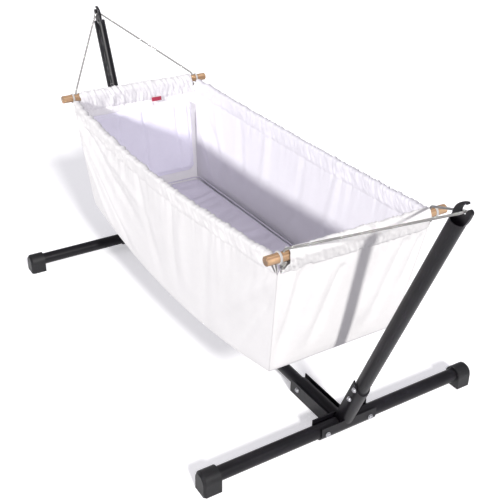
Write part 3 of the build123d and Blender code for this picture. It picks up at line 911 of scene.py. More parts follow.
# ---- stand ---------------------------------------------------------------------------
@dataclass
class Stand:
    """The steel stand: its tubes and sheet keep their shapes, and get their fasteners and weld seams."""

    dress: Wardrobe
    head_r: float = 0.0048
    head_h: float = 0.0034
    socket_r: float = 0.0021
    washer_r: float = 0.0060
    washer_t: float = 0.0011
    nut_r: float = 0.0058
    nut_h: float = 0.005
    dome_r: float = 0.0043
    dome_top: float = 0.0088
    shank_r: float = 0.0029
    head_room: float = 0.004
    weld_steps: int = 26
    bead_r: float = 0.0017
    pieces: list[Piece] = field(default_factory=list)

    def build(self) -> list[Piece]:
        """Dresses the stand and returns its new pieces."""
        steel = ("cross_channel", "post_channel", "beam_channel", "crossbar_near", "crossbar_far",
                 "beam_sleeve", "post", "hook_plate")
        for end in End:
            for part in steel:
                paint(f"{end.label}_{part}", self.dress.steel)
            for part in ("cap_near", "cap_far"):
                paint(f"{end.label}_{part}", self.dress.plastic)
            self.fasten(end)
            self.weld(end)
        paint("beam_tube", self.dress.steel)
        return self.pieces

    def add(self, name: str, bm: Draft, material: Material, slot: str, *nodes: str) -> None:
        """Finishes a hard piece of the stand and hides the CAD nodes that it stands for."""
        self.pieces.append(finish_piece(name, bm, material, nodes, "stand", smooth=False))

    def head(self, target: Draft, place: Matrix) -> None:
        """Adds a washer and a domed socket head, standing up +Z from a place.

        Args:
            target: mesh under construction.
            place: where they stand.
        """
        self.rod_part(target, place, self.washer_r, 0.0, self.washer_t, 24, 0.0003)
        bm = bmesh.new()
        bmesh.ops.create_cone(
            bm, cap_ends=True, segments=24, radius1=self.head_r, radius2=self.head_r * 0.94,
            depth=self.head_h, matrix=Matrix.Translation((0, 0, self.head_h / 2)),
        )
        top = max(bm.faces, key=lambda f: f.calc_center_median().z)
        round_off(bm, top.edges, self.head_h * 0.55, 4)
        top = max(bm.faces, key=lambda f: f.calc_center_median().z)
        bmesh.ops.inset_individual(bm, faces=[top], thickness=self.head_r * 0.22, depth=0.0)
        for vert in top.verts:
            angle = atan2(vert.co.y, vert.co.x) % (pi / 3) - pi / 6
            reach = self.socket_r * cos(pi / 6) / cos(angle)
            flat = Vector((vert.co.x, vert.co.y, 0)).normalized() * reach
            vert.co = Vector((flat.x, flat.y, vert.co.z))
        hole = bmesh.ops.extrude_discrete_faces(bm, faces=[top])["faces"]
        deep = (0, 0, -self.head_h * 0.6)
        bmesh.ops.translate(bm, verts=list({v for f in hole for v in f.verts}), vec=deep)
        stamp(target, bm, place @ Matrix.Translation((0, 0, self.washer_t)))

    def rod_part(self, target: Draft, place: Matrix, radius: float, low: float, high: float,
                 segments: int, soft: float) -> None:
        """Adds a round or many-sided length along +Z, with soft rims.

        Args:
            target: mesh under construction.
            place: where it stands.
            radius: its radius, to the corners.
            low: its lower end.
            high: its upper end.
            segments: sides.
            soft: width of the soft rims.
        """
        bm = bmesh.new()
        bmesh.ops.create_cone(
            bm, cap_ends=True, segments=segments, radius1=radius, radius2=radius, depth=high - low,
            matrix=Matrix.Translation((0, 0, (high + low) / 2)),
        )
        round_off(bm, {e for f in bm.faces if len(f.verts) == segments for e in f.edges}, soft)
        stamp(target, bm, place)

    def fasten(self, end: End) -> None:
        """Makes the bolts and nuts of one end.

        Args:
            end: which end.
        """
        label, x = end.label, end.value
        bolts, nuts = bmesh.new(), bmesh.new()
        box, cross = Spot.of(f"{label}_crossbar_bolts"), Spot.of(f"{label}_cross_channel")
        back, wall = sorted((abs(cross.low.x), abs(cross.high.x)))
        for y in (box.low.y + self.washer_r, box.high.y - self.washer_r):
            outward = Matrix.Translation((x * wall, y, box.middle.z)) @ facing(Vector((x, 0, 0)))
            self.head(bolts, outward)
            inward = Matrix.Translation((x * back, y, box.middle.z)) @ facing(Vector((-x, 0, 0)))
            self.rod_part(nuts, inward, self.nut_r, 0.0, self.nut_h, 6, 0.0005)
            self.rod_part(nuts, inward, self.dome_r, self.nut_h - 0.001, self.dome_top, 20, 0.0026)
        self.add(f"{label}_bar_bolts", bolts, self.dress.plated, "plated_steel", f"{label}_crossbar_bolts")
        self.add(f"{label}_bar_cap_nuts", nuts, self.dress.black, "blackened_steel", f"{label}_crossbar_nuts")
        self.through_bolts(end, f"{label}_post_bolts", f"{label}_post_nuts", 2)
        self.through_bolts(end, f"{label}_beam_bolt", f"{label}_beam_nut", 1)

    def through_bolts(self, end: End, bolt_node: str, nut_node: str, count: int) -> None:
        """Makes bolts that run across from the near side, with their nuts.

        Args:
            end: which end.
            bolt_node: CAD node of the bolts.
            nut_node: CAD node of the nuts.
            count: one or two bolts.
        """
        box, across = Spot.of(bolt_node), Spot.of(nut_node)
        places = [(box.middle.x, box.middle.z)]
        if count == 2:
            inset = self.washer_r
            low = (box.low.x + inset, box.low.z + inset)
            high = (box.high.x - inset, box.high.z - inset)
            places = [low, high] if end is End.FOOT else [(high[0], low[1]), (low[0], high[1])]
        bolts, nuts = bmesh.new(), bmesh.new()
        for x, z in places:
            self.head(bolts, Matrix.Translation((x, box.low.y + self.head_room, z)) @ facing(-ACROSS))
            shank = Matrix.Translation((x, across.low.y, z)) @ facing(ACROSS)
            top = across.high.y - across.low.y
            self.rod_part(bolts, shank, self.shank_r, -0.004, box.high.y - across.low.y, 18, 0.0008)
            self.rod_part(nuts, shank, self.nut_r, 0.0006, top, 6, 0.0006)
            self.rod_part(nuts, shank, self.washer_r, 0.0, 0.0008, 24, 0.0002)
        for node, part, bm in ((bolt_node, ("bolt", "screw"), bolts), (nut_node, ("nut", "lock_nut"), nuts)):
            self.add(node.replace(*part), bm, self.dress.plated, "plated_steel", node)

    def weld(self, end: End) -> None:
        """Lays weld seams where the channels of one end meet.

        Args:
            end: which end.
        """
        label, x = end.label, end.value
        cross, beam = Spot.of(f"{label}_cross_channel"), Spot.of(f"{label}_beam_channel")
        back = cross.low.x if x > 0 else cross.high.x
        top = min(beam.high.z, cross.high.z) - 0.002
        bm = bmesh.new()
        for y in (beam.low.y, beam.high.y):
            heights = [blend(0.014, top, k / self.weld_steps) for k in range(self.weld_steps + 1)]
            stamp(bm, self.bead([Vector((back - x * 0.0006, y, z)) for z in heights]))
        name = f"{label}_weld_seams"
        self.pieces.append(finish_piece(name, bm, self.dress.steel, body="stand"))

    def bead(self, line: list[Vector]) -> Draft:
        """One rippled weld bead along a line.

        Args:
            line: its middle line.

        Returns:
            The mesh under construction.
        """
        count = len(line) - 1

        def spread(u: float, v: float) -> Vector:
            """Point on the bead."""
            i = round(u * count)
            ripple = 1 + 0.22 * sin(i * 2.1)
            tip = min(1.0, 0.25 + min(i, count - i) * 0.4)
            return line[i] + Vector((cos(2 * pi * v), sin(2 * pi * v), 0)) * (self.bead_r * ripple * tip)

        return cloth_grid((count, 8), spread, (0.03, 0.01), close=True)


# ---- the basket's cloth ----------------------------------------------------------------
@dataclass(frozen=True)
class Fold:
    """One soft fold: a ridge or a hollow along a line on a panel, in metres on the panel."""

    start: tuple[float, float]
    stop: tuple[float, float]
    width: float
    height: float

    def lift(self, s: float, h: float) -> float:
        """How far the cloth stands out at a place.

        Args:
            s: place along the panel.
            h: height up the panel.

        Returns:
            The lift, in metres.
        """
        ds, dh = self.stop[0] - self.start[0], self.stop[1] - self.start[1]
        length = ds * ds + dh * dh
        t = ((s - self.start[0]) * ds + (h - self.start[1]) * dh) / length
        k = keep(t)
        gap = hypot(s - self.start[0] - k * ds, h - self.start[1] - k * dh)
        width = self.width * (0.55 + 0.65 * k)
        ends = ease((t + 0.18) / 0.3) * ease((1.12 - t) / 0.45)
        return self.height * exp(-((gap / width) ** 2)) * ends


# The soft folds of each panel: along X on a side and Y on an end, and up from the bottom seam.
FOLDS = {
    Side.NEAR: (
        Fold((-0.475, 0.270), (-0.17, 0.045), 0.020, 0.0085),
        Fold((-0.470, 0.245), (-0.19, 0.000), 0.018, -0.0080),
        Fold((-0.470, 0.200), (-0.30, -0.010), 0.016, 0.0060),
        Fold((-0.440, 0.275), (-0.08, 0.120), 0.017, -0.0060),
        Fold((-0.400, 0.280), (-0.02, 0.180), 0.014, 0.0045),
        Fold((-0.080, 0.270), (-0.02, 0.020), 0.022, -0.0050),
        Fold((0.080, 0.270), (0.060, 0.060), 0.018, -0.0050),
        Fold((0.125, 0.265), (0.110, 0.040), 0.024, 0.0045),
        Fold((0.230, 0.260), (0.190, 0.000), 0.024, -0.0045),
        Fold((0.470, 0.265), (0.250, 0.060), 0.020, 0.0060),
        Fold((0.470, 0.235), (0.330, 0.010), 0.016, -0.0055),
    ),
    Side.FAR: (
        Fold((-0.470, 0.265), (-0.25, 0.060), 0.020, 0.0060),
        Fold((-0.470, 0.235), (-0.33, 0.010), 0.016, -0.0055),
        Fold((-0.360, 0.270), (-0.300, 0.060), 0.018, -0.0060),
        Fold((-0.250, 0.270), (-0.210, 0.040), 0.020, 0.0050),
        Fold((-0.120, 0.270), (-0.130, 0.060), 0.018, -0.0050),
        Fold((0.030, 0.270), (0.010, 0.060), 0.020, 0.0045),
        Fold((0.160, 0.270), (0.150, 0.060), 0.018, -0.0050),
        Fold((0.470, 0.265), (0.220, 0.080), 0.020, -0.0065),
        Fold((0.475, 0.235), (0.330, 0.020), 0.016, 0.0055),
    ),
    End.FOOT: (
        Fold((-0.120, 0.265), (-0.160, 0.015), 0.020, -0.0080),
        Fold((-0.150, 0.262), (-0.166, 0.080), 0.014, 0.0050),
        Fold((-0.030, 0.235), (-0.075, 0.040), 0.014, -0.0060),
        Fold((-0.060, 0.240), (-0.100, 0.050), 0.016, 0.0040),
        Fold((0.130, 0.250), (0.080, 0.035), 0.016, -0.0065),
        Fold((0.095, 0.240), (0.050, 0.050), 0.018, 0.0045),
        Fold((0.172, 0.250), (0.150, 0.120), 0.012, -0.0070),
    ),
    End.HEAD: (
        Fold((-0.140, 0.262), (-0.160, 0.030), 0.016, -0.0050),
        Fold((-0.050, 0.255), (-0.060, 0.070), 0.020, 0.0035),
        Fold((0.040, 0.255), (0.060, 0.080), 0.020, -0.0035),
        Fold((0.140, 0.262), (0.158, 0.040), 0.016, -0.0050),
    ),
}


@dataclass(frozen=True)
class HemSection:
    """Section of a folded hem: round over a cord or rod, then two layers down to the stitch line."""

    radius: float
    drop: float

    def at(self, t: float) -> tuple[Vector, Vector, float]:
        """Point of the section, from the stitch line up the outside, over and down the inside.

        Args:
            t: place round the section, from 0 to 1.

        Returns:
            The point (out, up), the outward normal there and the distance from the nearer stitch edge.
        """
        bend = acos(self.radius / self.drop)
        run = sqrt(self.drop ** 2 - self.radius ** 2)
        arc = self.radius * (2 * pi - 2 * bend)
        total = 2 * run + arc
        d = t * total
        mirror = d > total / 2
        if mirror:
            d = total - d
        normal = Vector((sin(bend), -cos(bend)))
        if d <= run:
            touch = normal * self.radius
            point = Vector((0, -self.drop)).lerp(touch, d / run)
        else:
            angle = bend + (d - run) / self.radius
            normal = Vector((sin(angle), -cos(angle)))
            point = normal * self.radius
        if mirror:
            point = Vector((-point.x, point.y))
            normal = Vector((-normal.x, normal.y))
        return point, normal, d


def leaning(x: float, y: float, slope: float) -> tuple[Vector, Vector]:
    """Outward and upward directions of a panel that leans out towards (x, y) at a slope."""
    size = hypot(1, slope)
    return Vector((x / size, y / size, -slope / size)), Vector((x * slope / size, y * slope / size, 1 / size))


@dataclass
class Basket:
    """The trough-shaped cloth basket: five panels, four ruched hems, their seams and stitches."""

    dress: Wardrobe
    cloth: float = 0.0013
    low_x: float = 0.456
    low_y: float = 0.1675
    low_z: float = 0.1915
    sag: float = 0.0480
    rim_x: float = 0.489
    rim_y: float = 0.190
    rim_z: float = 0.490
    rim_sag: float = 0.015
    rim_bow: float = 0.016
    head_belly: float = 0.0085
    rod_x: float = 0.510
    rod_z: float = 0.497
    rod_r: float = 0.010
    casing_half: float = 0.172
    casing_spread: float = 0.010
    casing_cloth: float = 0.0008
    seam_bow: float = 0.004
    seam_tuck: float = 0.002
    seam_r: float = 0.0011
    turn_in: float = 0.955
    ruche_high: float = 0.0034
    casing_ruche: float = 0.0030
    side_stitches: int = 232
    end_stitches: int = 88
    stitch: Triple = (0.0015, 0.00045, 0.00035)
    tie_r: float = 0.0016
    tie_turns: float = 1.9
    tie_steps: int = 104
    side_hem: HemSection = HemSection(0.0044, 0.036)
    end_hem: HemSection = HemSection(0.0120, 0.041)

    def lean(self) -> float:
        """How far the end panels lean out, as a slope."""
        return (self.rod_x - self.low_x) / (self.rod_z - self.low_z)

    def end_x(self, h: float, end: End) -> float:
        """How far out an end seam is at a height above the bottom seam."""
        belly = self.head_belly * ease((0.285 - h) / 0.12) if end is End.HEAD else 0.0
        return self.low_x + h * self.lean() + belly - self.seam_tuck * exp(-h / 0.010)

    def side_rise(self) -> float:
        """Height of a side panel's rim over its bottom seam."""
        return self.rim_z - self.low_z

    def side_lean(self) -> float:
        """How far the side panels lean out, as a slope."""
        return (self.rim_y - self.low_y) / self.side_rise()

    def cotton(self, place: End | Side) -> Material:
        """The basket's cotton, tinted lavender on the far side as painted shade."""
        return self.dress.lining if place is Side.FAR else self.dress.cotton

    def side_point(self, side: Side, u: float, v: float) -> Vector:
        """Place on the middle of a side panel before its folds.

        Args:
            side: which side.
            u: from -1 at the head to 1 at the foot.
            v: from 0 at the bottom seam to 1 at the rim.

        Returns:
            The place.
        """
        bow = 1 - u * u
        h = v * self.side_rise()
        reach = self.end_x(h, End.FOOT if u > 0 else End.HEAD)
        if v > 0.86:
            reach = blend(reach, self.rim_x, ease((v - 0.86) / 0.14))
        y = blend(self.low_y + self.seam_bow * bow, self.rim_y + self.rim_bow * bow, v)
        y -= self.seam_tuck * exp(-h / 0.009)
        z = blend(self.low_z - self.sag * bow, self.rim_z - self.rim_sag * bow, v)
        return Vector((u * reach, side.value * y, z))

    def side_out(self, side: Side) -> tuple[Vector, Vector]:
        """Outward and upward directions of a side panel."""
        return leaning(0, side.value, self.side_lean())

    def end_out(self, end: End) -> tuple[Vector, Vector]:
        """Outward and upward directions of an end panel."""
        return leaning(end.value, 0, self.lean())

    def puckers(self, s: float, depth: float, seed: float, size: float = 0.0036) -> float:
        """Small gathers that run down from a stitch line.

        Args:
            s: place along the hem.
            depth: distance below the stitch line.
            seed: which hem.
            size: their height.

        Returns:
            The lift, in metres.
        """
        below = max(0.0, depth)
        patch = 0.65 + 0.7 * rumple(s / 0.11, 3.1, seed)
        near = rumple(s / 0.0085, below / 0.060, seed) * exp(-below / 0.020)
        wide = rumple(s / 0.022, below / 0.120, seed + 4.0) * exp(-below / 0.075) * 1.4
        return size * patch * (near + wide)

    def side_lift(self, side: Side, u: float, v: float) -> float:
        """How far a side panel stands out at a place, with all its folds."""
        s, h = u * self.low_x, v * self.side_rise()
        lift = sum(fold.lift(s, h) for fold in FOLDS[side])
        depth = (1 - v) * self.side_rise() - self.side_hem.drop
        lift += self.puckers(s, depth, 2.0 + side.value)
        lift += 0.0022 * rumple(s / 0.09, h / 0.13, 7.0 + side.value) + 0.004 * sin(pi * v) * (1 - u * u)
        fade = ease((1 - abs(u)) * self.low_x / 0.028) * ease(h / 0.022)
        return lift * fade

    def panel(self, name: str, bm: Draft, finish: Material, node: str) -> Piece:
        """Finishes a panel of cloth that stands for a CAD node."""
        return thicken(finish_piece(name, bm, finish, [node]), self.cloth)

    def side_panel(self, side: Side) -> Piece:
        """Makes a side panel.

        Args:
            side: which side.

        Returns:
            The panel.
        """
        out, _ = self.side_out(side)

        def spread(a: float, b: float) -> Vector:
            """Place of a point of the panel."""
            u, v = 2 * a - 1, b * self.turn_in
            return self.side_point(side, u, v) + out * self.side_lift(side, u, v)

        bm = cloth_grid((330, 90), spread, (2 * self.rim_x, 0.335))
        return self.panel(f"{side.label}_side_cloth", bm, self.cotton(side), f"{side.label}_side_panel")

    def end_half(self, h: float) -> float:
        """Half width of an end panel at a height above the bottom seam."""
        y = self.low_y + h * self.side_lean() - self.seam_tuck * exp(-h / 0.009)
        top = self.side_rise() * 0.86
        return blend(y, self.casing_half, ease((h - top) / 0.045))

    def end_lift(self, end: End, w: float, h: float) -> float:
        """How far an end panel stands out at a place, with all its folds."""
        y = w * self.end_half(h)
        lift = sum(fold.lift(y, h) for fold in FOLDS[end])
        rise = hypot(1, self.lean()) * (self.rod_z - self.low_z - h)
        lift += self.puckers(y, rise - self.end_hem.drop, 11.0 + end.value)
        lift += 0.0020 * rumple(y / 0.07, h / 0.12, 15.0 + end.value) + 0.003 * sin(pi * keep(h / 0.30))
        fade = ease((1 - abs(w)) * 0.165 / 0.025) * ease(h / 0.022)
        return lift * fade

    def end_panel(self, end: End) -> Piece:
        """Makes an end panel.

        Args:
            end: which end.

        Returns:
            The panel.
        """
        out, _ = self.end_out(end)
        top = self.rod_z - self.low_z - 0.016

        def spread(a: float, b: float) -> Vector:
            """Place of a point of the panel."""
            w, h = 2 * a - 1, b * top
            place = Vector((end.value * self.end_x(h, end), w * self.end_half(h), self.low_z + h))
            return place + out * self.end_lift(end, w, h)

        bm = cloth_grid((130, 96), spread, (0.36, 0.30))
        return self.panel(f"{end.label}_end_cloth", bm, self.cotton(end), f"{end.label}_panel")

    def bottom(self) -> Piece:
        """Makes the sagging bottom panel."""

        def spread(a: float, b: float) -> Vector:
            """Place of a point of the panel."""
            u, w = 2 * a - 1, 2 * b - 1
            bow = 1 - u * u
            half = self.low_y - 0.0025 + self.seam_bow * bow
            seam = self.low_z - self.sag * bow
            inner = ease((1 - abs(w)) * half / 0.05) * ease((1 - abs(u)) * 0.45 / 0.05)
            z = seam - 0.004 * inner + 0.0015 * inner * rumple(u * 9, w * 3, 21.0)
            reach = self.end_x(0, End.FOOT if u > 0 else End.HEAD)
            return Vector((u * (reach - 0.0005), w * half, z))

        bm = cloth_grid((150, 60), spread, (0.93, 0.33))
        return self.panel("bottom_cloth", bm, self.dress.cotton, "bottom_panel")

    def ruche(self, s: float, d: float, seed: float, slant: float, size: float) -> float:
        """Gathers of a ruched hem.

        Args:
            s: place along the hem.
            d: distance up from the stitch line.
            seed: which hem.
            slant: how far the gathers lean.
            size: their height.

        Returns:
            The lift, in metres.
        """
        run = s + slant * d
        ridge = 1 - 2.4 * abs(rumple(run / 0.0105, d / 0.042, seed))
        small = rumple(run / 0.0050, d / 0.014, seed + 5.0)
        patch = 0.8 + 0.5 * rumple(s / 0.06, 0.4, seed + 9.0)
        return size * patch * (0.75 * ridge + 0.55 * small)

    def side_hem_piece(self, side: Side) -> Piece:
        """Makes the ruched hem along a side panel's rim."""
        out, up = self.side_out(side)
        section = self.side_hem

        def spread(a: float, b: float) -> Vector:
            """Place of a point of the hem."""
            u = 2 * a - 1
            point, normal, d = section.at(b)
            s = u * self.rim_x
            size = self.ruche_high * ease(d / 0.011) * (0.8 + 0.4 * abs(u))
            seed = 31.0 + side.value + (0.5 if point.x < 0 else 0.0)
            lift = self.ruche(s, d, seed, 0.25, size) + size * 0.25
            gap = (0.0004 + 0.0009 * ease(d / 0.012)) * (1 if point.x >= 0 else -1)
            v = 1 + point.y / self.side_rise()
            base = self.side_point(side, u, min(v, 1.0))
            base += up * (max(point.y, 0.0)) + out * self.side_lift(side, u, min(v, self.turn_in))
            scallop = 0.0026 * rumple(s / 0.0070, 0.0, 40.0 + side.value) * ease((point.y + 0.012) / 0.012)
            return base + out * (point.x + gap + normal.x * lift) + up * (normal.y * lift + scallop)

        bm = cloth_grid((430, 40), spread, (2 * self.rim_x, 0.085), close=True)
        nodes = (f"{side.label}_top_hem", f"{side.label}_drawcord")
        return finish_piece(f"{side.label}_ruched_hem", bm, self.cotton(side), nodes)

    def end_hem_piece(self, end: End) -> Piece:
        """Makes the ruched casing round a rod."""
        out, up = self.end_out(end)
        section = self.end_hem
        centre = Vector((end.value * self.rod_x, 0, self.rod_z))

        def spread(a: float, b: float) -> Vector:
            """Place of a point of the casing."""
            w = 2 * a - 1
            point, normal, d = section.at(b)
            low = keep(-point.y / section.drop)
            y = w * blend(self.casing_half, self.casing_half + self.casing_spread, ease(low))
            size = self.casing_ruche * ease(d / 0.010)
            seed = 51.0 + end.value + (0.5 if point.x < 0 else 0.0)
            lift = self.ruche(y, d, seed, 0.45, size) + size * 0.25
            crest = max(0.0, rumple(y / 0.0075, 0.0, 57.0 + end.value))
            lift += self.casing_ruche * crest * ease(point.y / self.rod_r)
            lift = max(lift, -0.0006) if point.y > -0.006 else lift
            gap = (0.0012 if point.x >= 0 else -0.0012) * ease(low * 2)
            belly = self.end_lift(end, w, self.rod_z - self.low_z - max(0.0, -point.y)) * ease(low * 1.6)
            mouth = 0.0035 * rumple(b * 9, 0.0, 60.0 + w) * ease((abs(w) - 0.95) / 0.05)
            place = centre + Vector((0, y + mouth, 0)) + out * (point.x + gap + belly + normal.x * lift)
            return place + up * (point.y + normal.y * lift)

        bm = cloth_grid((170, 64), spread, (0.36, 0.12), close=True)
        nodes = [f"{end.label}_rod_casing"]
        hem = finish_piece(f"{end.label}_ruched_casing", bm, self.dress.cotton, nodes)
        return thicken(hem, self.casing_cloth, -1.0)

    def stitches(self, name: str, places: list[tuple[Vector, Vector, Vector]]) -> Piece:
        """Lays a row of thread stitches.

        Args:
            name: piece name.
            places: for each stitch its middle, its direction and the cloth's outward direction.

        Returns:
            The stitches, as one piece.
        """
        bm = bmesh.new()
        for middle, along, out in places:
            side = along.cross(out).normalized()
            turn = Matrix((along, side, out)).transposed().to_4x4()
            place = Matrix.Translation(middle) @ turn @ Matrix.Diagonal((*self.stitch, 1.0))
            bmesh.ops.create_icosphere(bm, subdivisions=1, radius=1.0, matrix=place)
        return finish_piece(name, bm, self.dress.thread)

    def seam_rows(self) -> dict[str, Piece]:
        """Lays the stitch rows of the four hems, one piece for each hem."""
        rows = {}
        for side in Side:
            out, _ = self.side_out(side)
            places = []
            v = 1 - (self.side_hem.drop - 0.003) / self.side_rise()
            for k in range(1, self.side_stitches):
                u = -1 + 2 * k / self.side_stitches
                here = self.side_point(side, u, v) + out * self.side_lift(side, u, v)
                ahead = self.side_point(side, u + 0.004, v) - self.side_point(side, u, v)
                for sign in (1, -1):
                    places.append((here + out * sign * 0.0010, ahead.normalized(), out * sign))
            rows[side.label] = self.stitches(f"{side.label}_hem_stitches", places)
        for end in End:
            out, up = self.end_out(end)
            places = []
            drop = self.end_hem.drop - 0.0035
            h = self.rod_z - self.low_z - drop
            for k in range(1, self.end_stitches):
                w = -1 + 2 * k / self.end_stitches
                base = Vector((end.value * self.rod_x, w * (self.casing_half + 0.0095), self.rod_z))
                base -= up * drop
                base += out * self.end_lift(end, w, h)
                for sign in (1, -1):
                    places.append((base + out * sign * 0.0016, Vector((0, 1, 0)), out * sign))
            rows[end.label] = self.stitches(f"{end.label}_hem_stitches", places)
        return rows

    def corner_seams(self) -> Piece:
        """Makes the felled seams where the panels meet at the corners and along the bottom."""
        lines = []
        for end in End:
            for side in Side:
                line = []
                for k in range(61):
                    h = 0.262 * k / 60
                    line.append(Vector((
                        end.value * (self.end_x(h, end) - 0.0004), side.value * (self.end_half(h) - 0.0004),
                        self.low_z + h,
                    )))
                lines.append(line)
            half = self.end_half(0)
            lines.append([
                Vector((end.value * self.end_x(0, end), half * (k / 30 - 1), self.low_z)) for k in range(61)
            ])
        for side in Side:
            lines.append([self.side_point(side, k / 100 - 1, 0) for k in range(201)])
        bm = bmesh.new()
        for line in lines:
            stamp(bm, tube_along(line, self.seam_r, 10, relief=0.0))
        return finish_piece("basket_seams", bm, self.dress.cotton)

    def ties(self, side: Side) -> list[Piece]:
        """Makes the drawcord's two ties, from the hem's ends round the rods."""
        made = []
        for end in End:
            node = f"{end.label}_wrap_{side.label}"
            box = Spot.of(node)
            rod = Spot.of(f"{end.label}_rod").middle
            reach = self.rod_r + 0.0017
            start = Vector((end.value * (self.rim_x - 0.02), side.value * self.rim_y, self.rim_z - 0.001))
            low_y = min(abs(box.low.y), abs(box.high.y)) + 0.0017
            path = [start, start.lerp(Vector((end.value * 0.494, side.value * low_y, 0.4895)), 0.7)]
            for k in range(self.tie_steps + 1):
                angle = -2.5 + 2 * pi * self.tie_turns * k / self.tie_steps
                y = side.value * (low_y + 0.0036 * k / self.tie_steps)
                x = rod.x + end.value * reach * sin(angle)
                path.append(Vector((x, y, rod.z + reach * cos(angle))))
            bm = tube_along(even_points(path, 0.0009), self.tie_r, 10, 0.0030)
            name = f"{end.label}_{side.label}_tie"
            made.append(finish_piece(name, bm, self.dress.drawcord, [node]))
        return made

    def build(self) -> list[Piece]:
        """Makes the whole basket and returns its pieces."""
        for end in End:
            paint(f"{end.label}_rod", self.dress.wood)
        rows = self.seam_rows()
        pieces = [self.corner_seams()]
        for side in Side:
            panel, hem, ties = self.side_panel(side), self.side_hem_piece(side), self.ties(side)
            trim = [hem, rows[side.label], *ties]
            pieces += [panel, *trim]
        for end in End:
            panel, hem = self.end_panel(end), self.end_hem_piece(end)
            trim = [hem, rows[end.label]]
            pieces += [panel, *trim]
        bottom = self.bottom()
        return pieces + [bottom]


# ---- bedding ---------------------------------------------------------------------------
def swell(piece: Piece, voxel: float, pressure: float, cap: float) -> None:
    """Fills a pad by cloth simulation and applies the result.

    Args:
        piece: closed pad.
        voxel: size of the even mesh.
        pressure: filling pressure.
        cap: the furthest that a point may move.
    """
    remesh = piece.modifiers.new("even", "REMESH")
    remesh.mode = "VOXEL"
    remesh.voxel_size = voxel
    apply_all(piece)
    start = [v.co.copy() for v in piece.data.vertices]
    cloth = piece.modifiers.new("fill", "CLOTH")
    values = {
        "use_pressure": True, "uniform_pressure_force": pressure, "quality": 4, "mass": 0.15,
        "tension_stiffness": 12, "compression_stiffness": 12, "bending_stiffness": 0.4,
    }
    for key, value in values.items():
        setattr(cloth.settings, key, value)
    cloth.settings.effector_weights.gravity = 0
    cloth.collision_settings.use_collision = False
    scene = bpy.context.scene
    for number in range(1, FILL_FRAMES + 1):
        scene.frame_set(number)
    apply_all(piece)
    scene.frame_set(1)
    for vertex, before in zip(piece.data.vertices, start):
        move = vertex.co - before
        if move.length > cap:
            vertex.co = before + move.normalized() * cap


def apply_all(piece: Piece) -> None:
    """Applies every modifier of a piece to its mesh."""
    graph = bpy.context.evaluated_depsgraph_get()
    graph.update()
    mesh = bpy.data.meshes.new_from_object(piece.evaluated_get(graph))
    old = piece.data
    piece.modifiers.clear()
    mesh.name = old.name
    piece.data = mesh
    bpy.data.meshes.remove(old)


def flat_map(piece: Piece, along: Vector, across: Vector) -> None:
    """Lays a pad's weave map from two directions, in metres.

    Args:
        piece: the pad.
        along: first direction.
        across: second direction.
    """
    layer = piece.data.uv_layers.new(name="flat")
    for loop in piece.data.loops:
        place = piece.data.vertices[loop.vertex_index].co
        layer.data[loop.index].uv = (place.dot(along), place.dot(across))


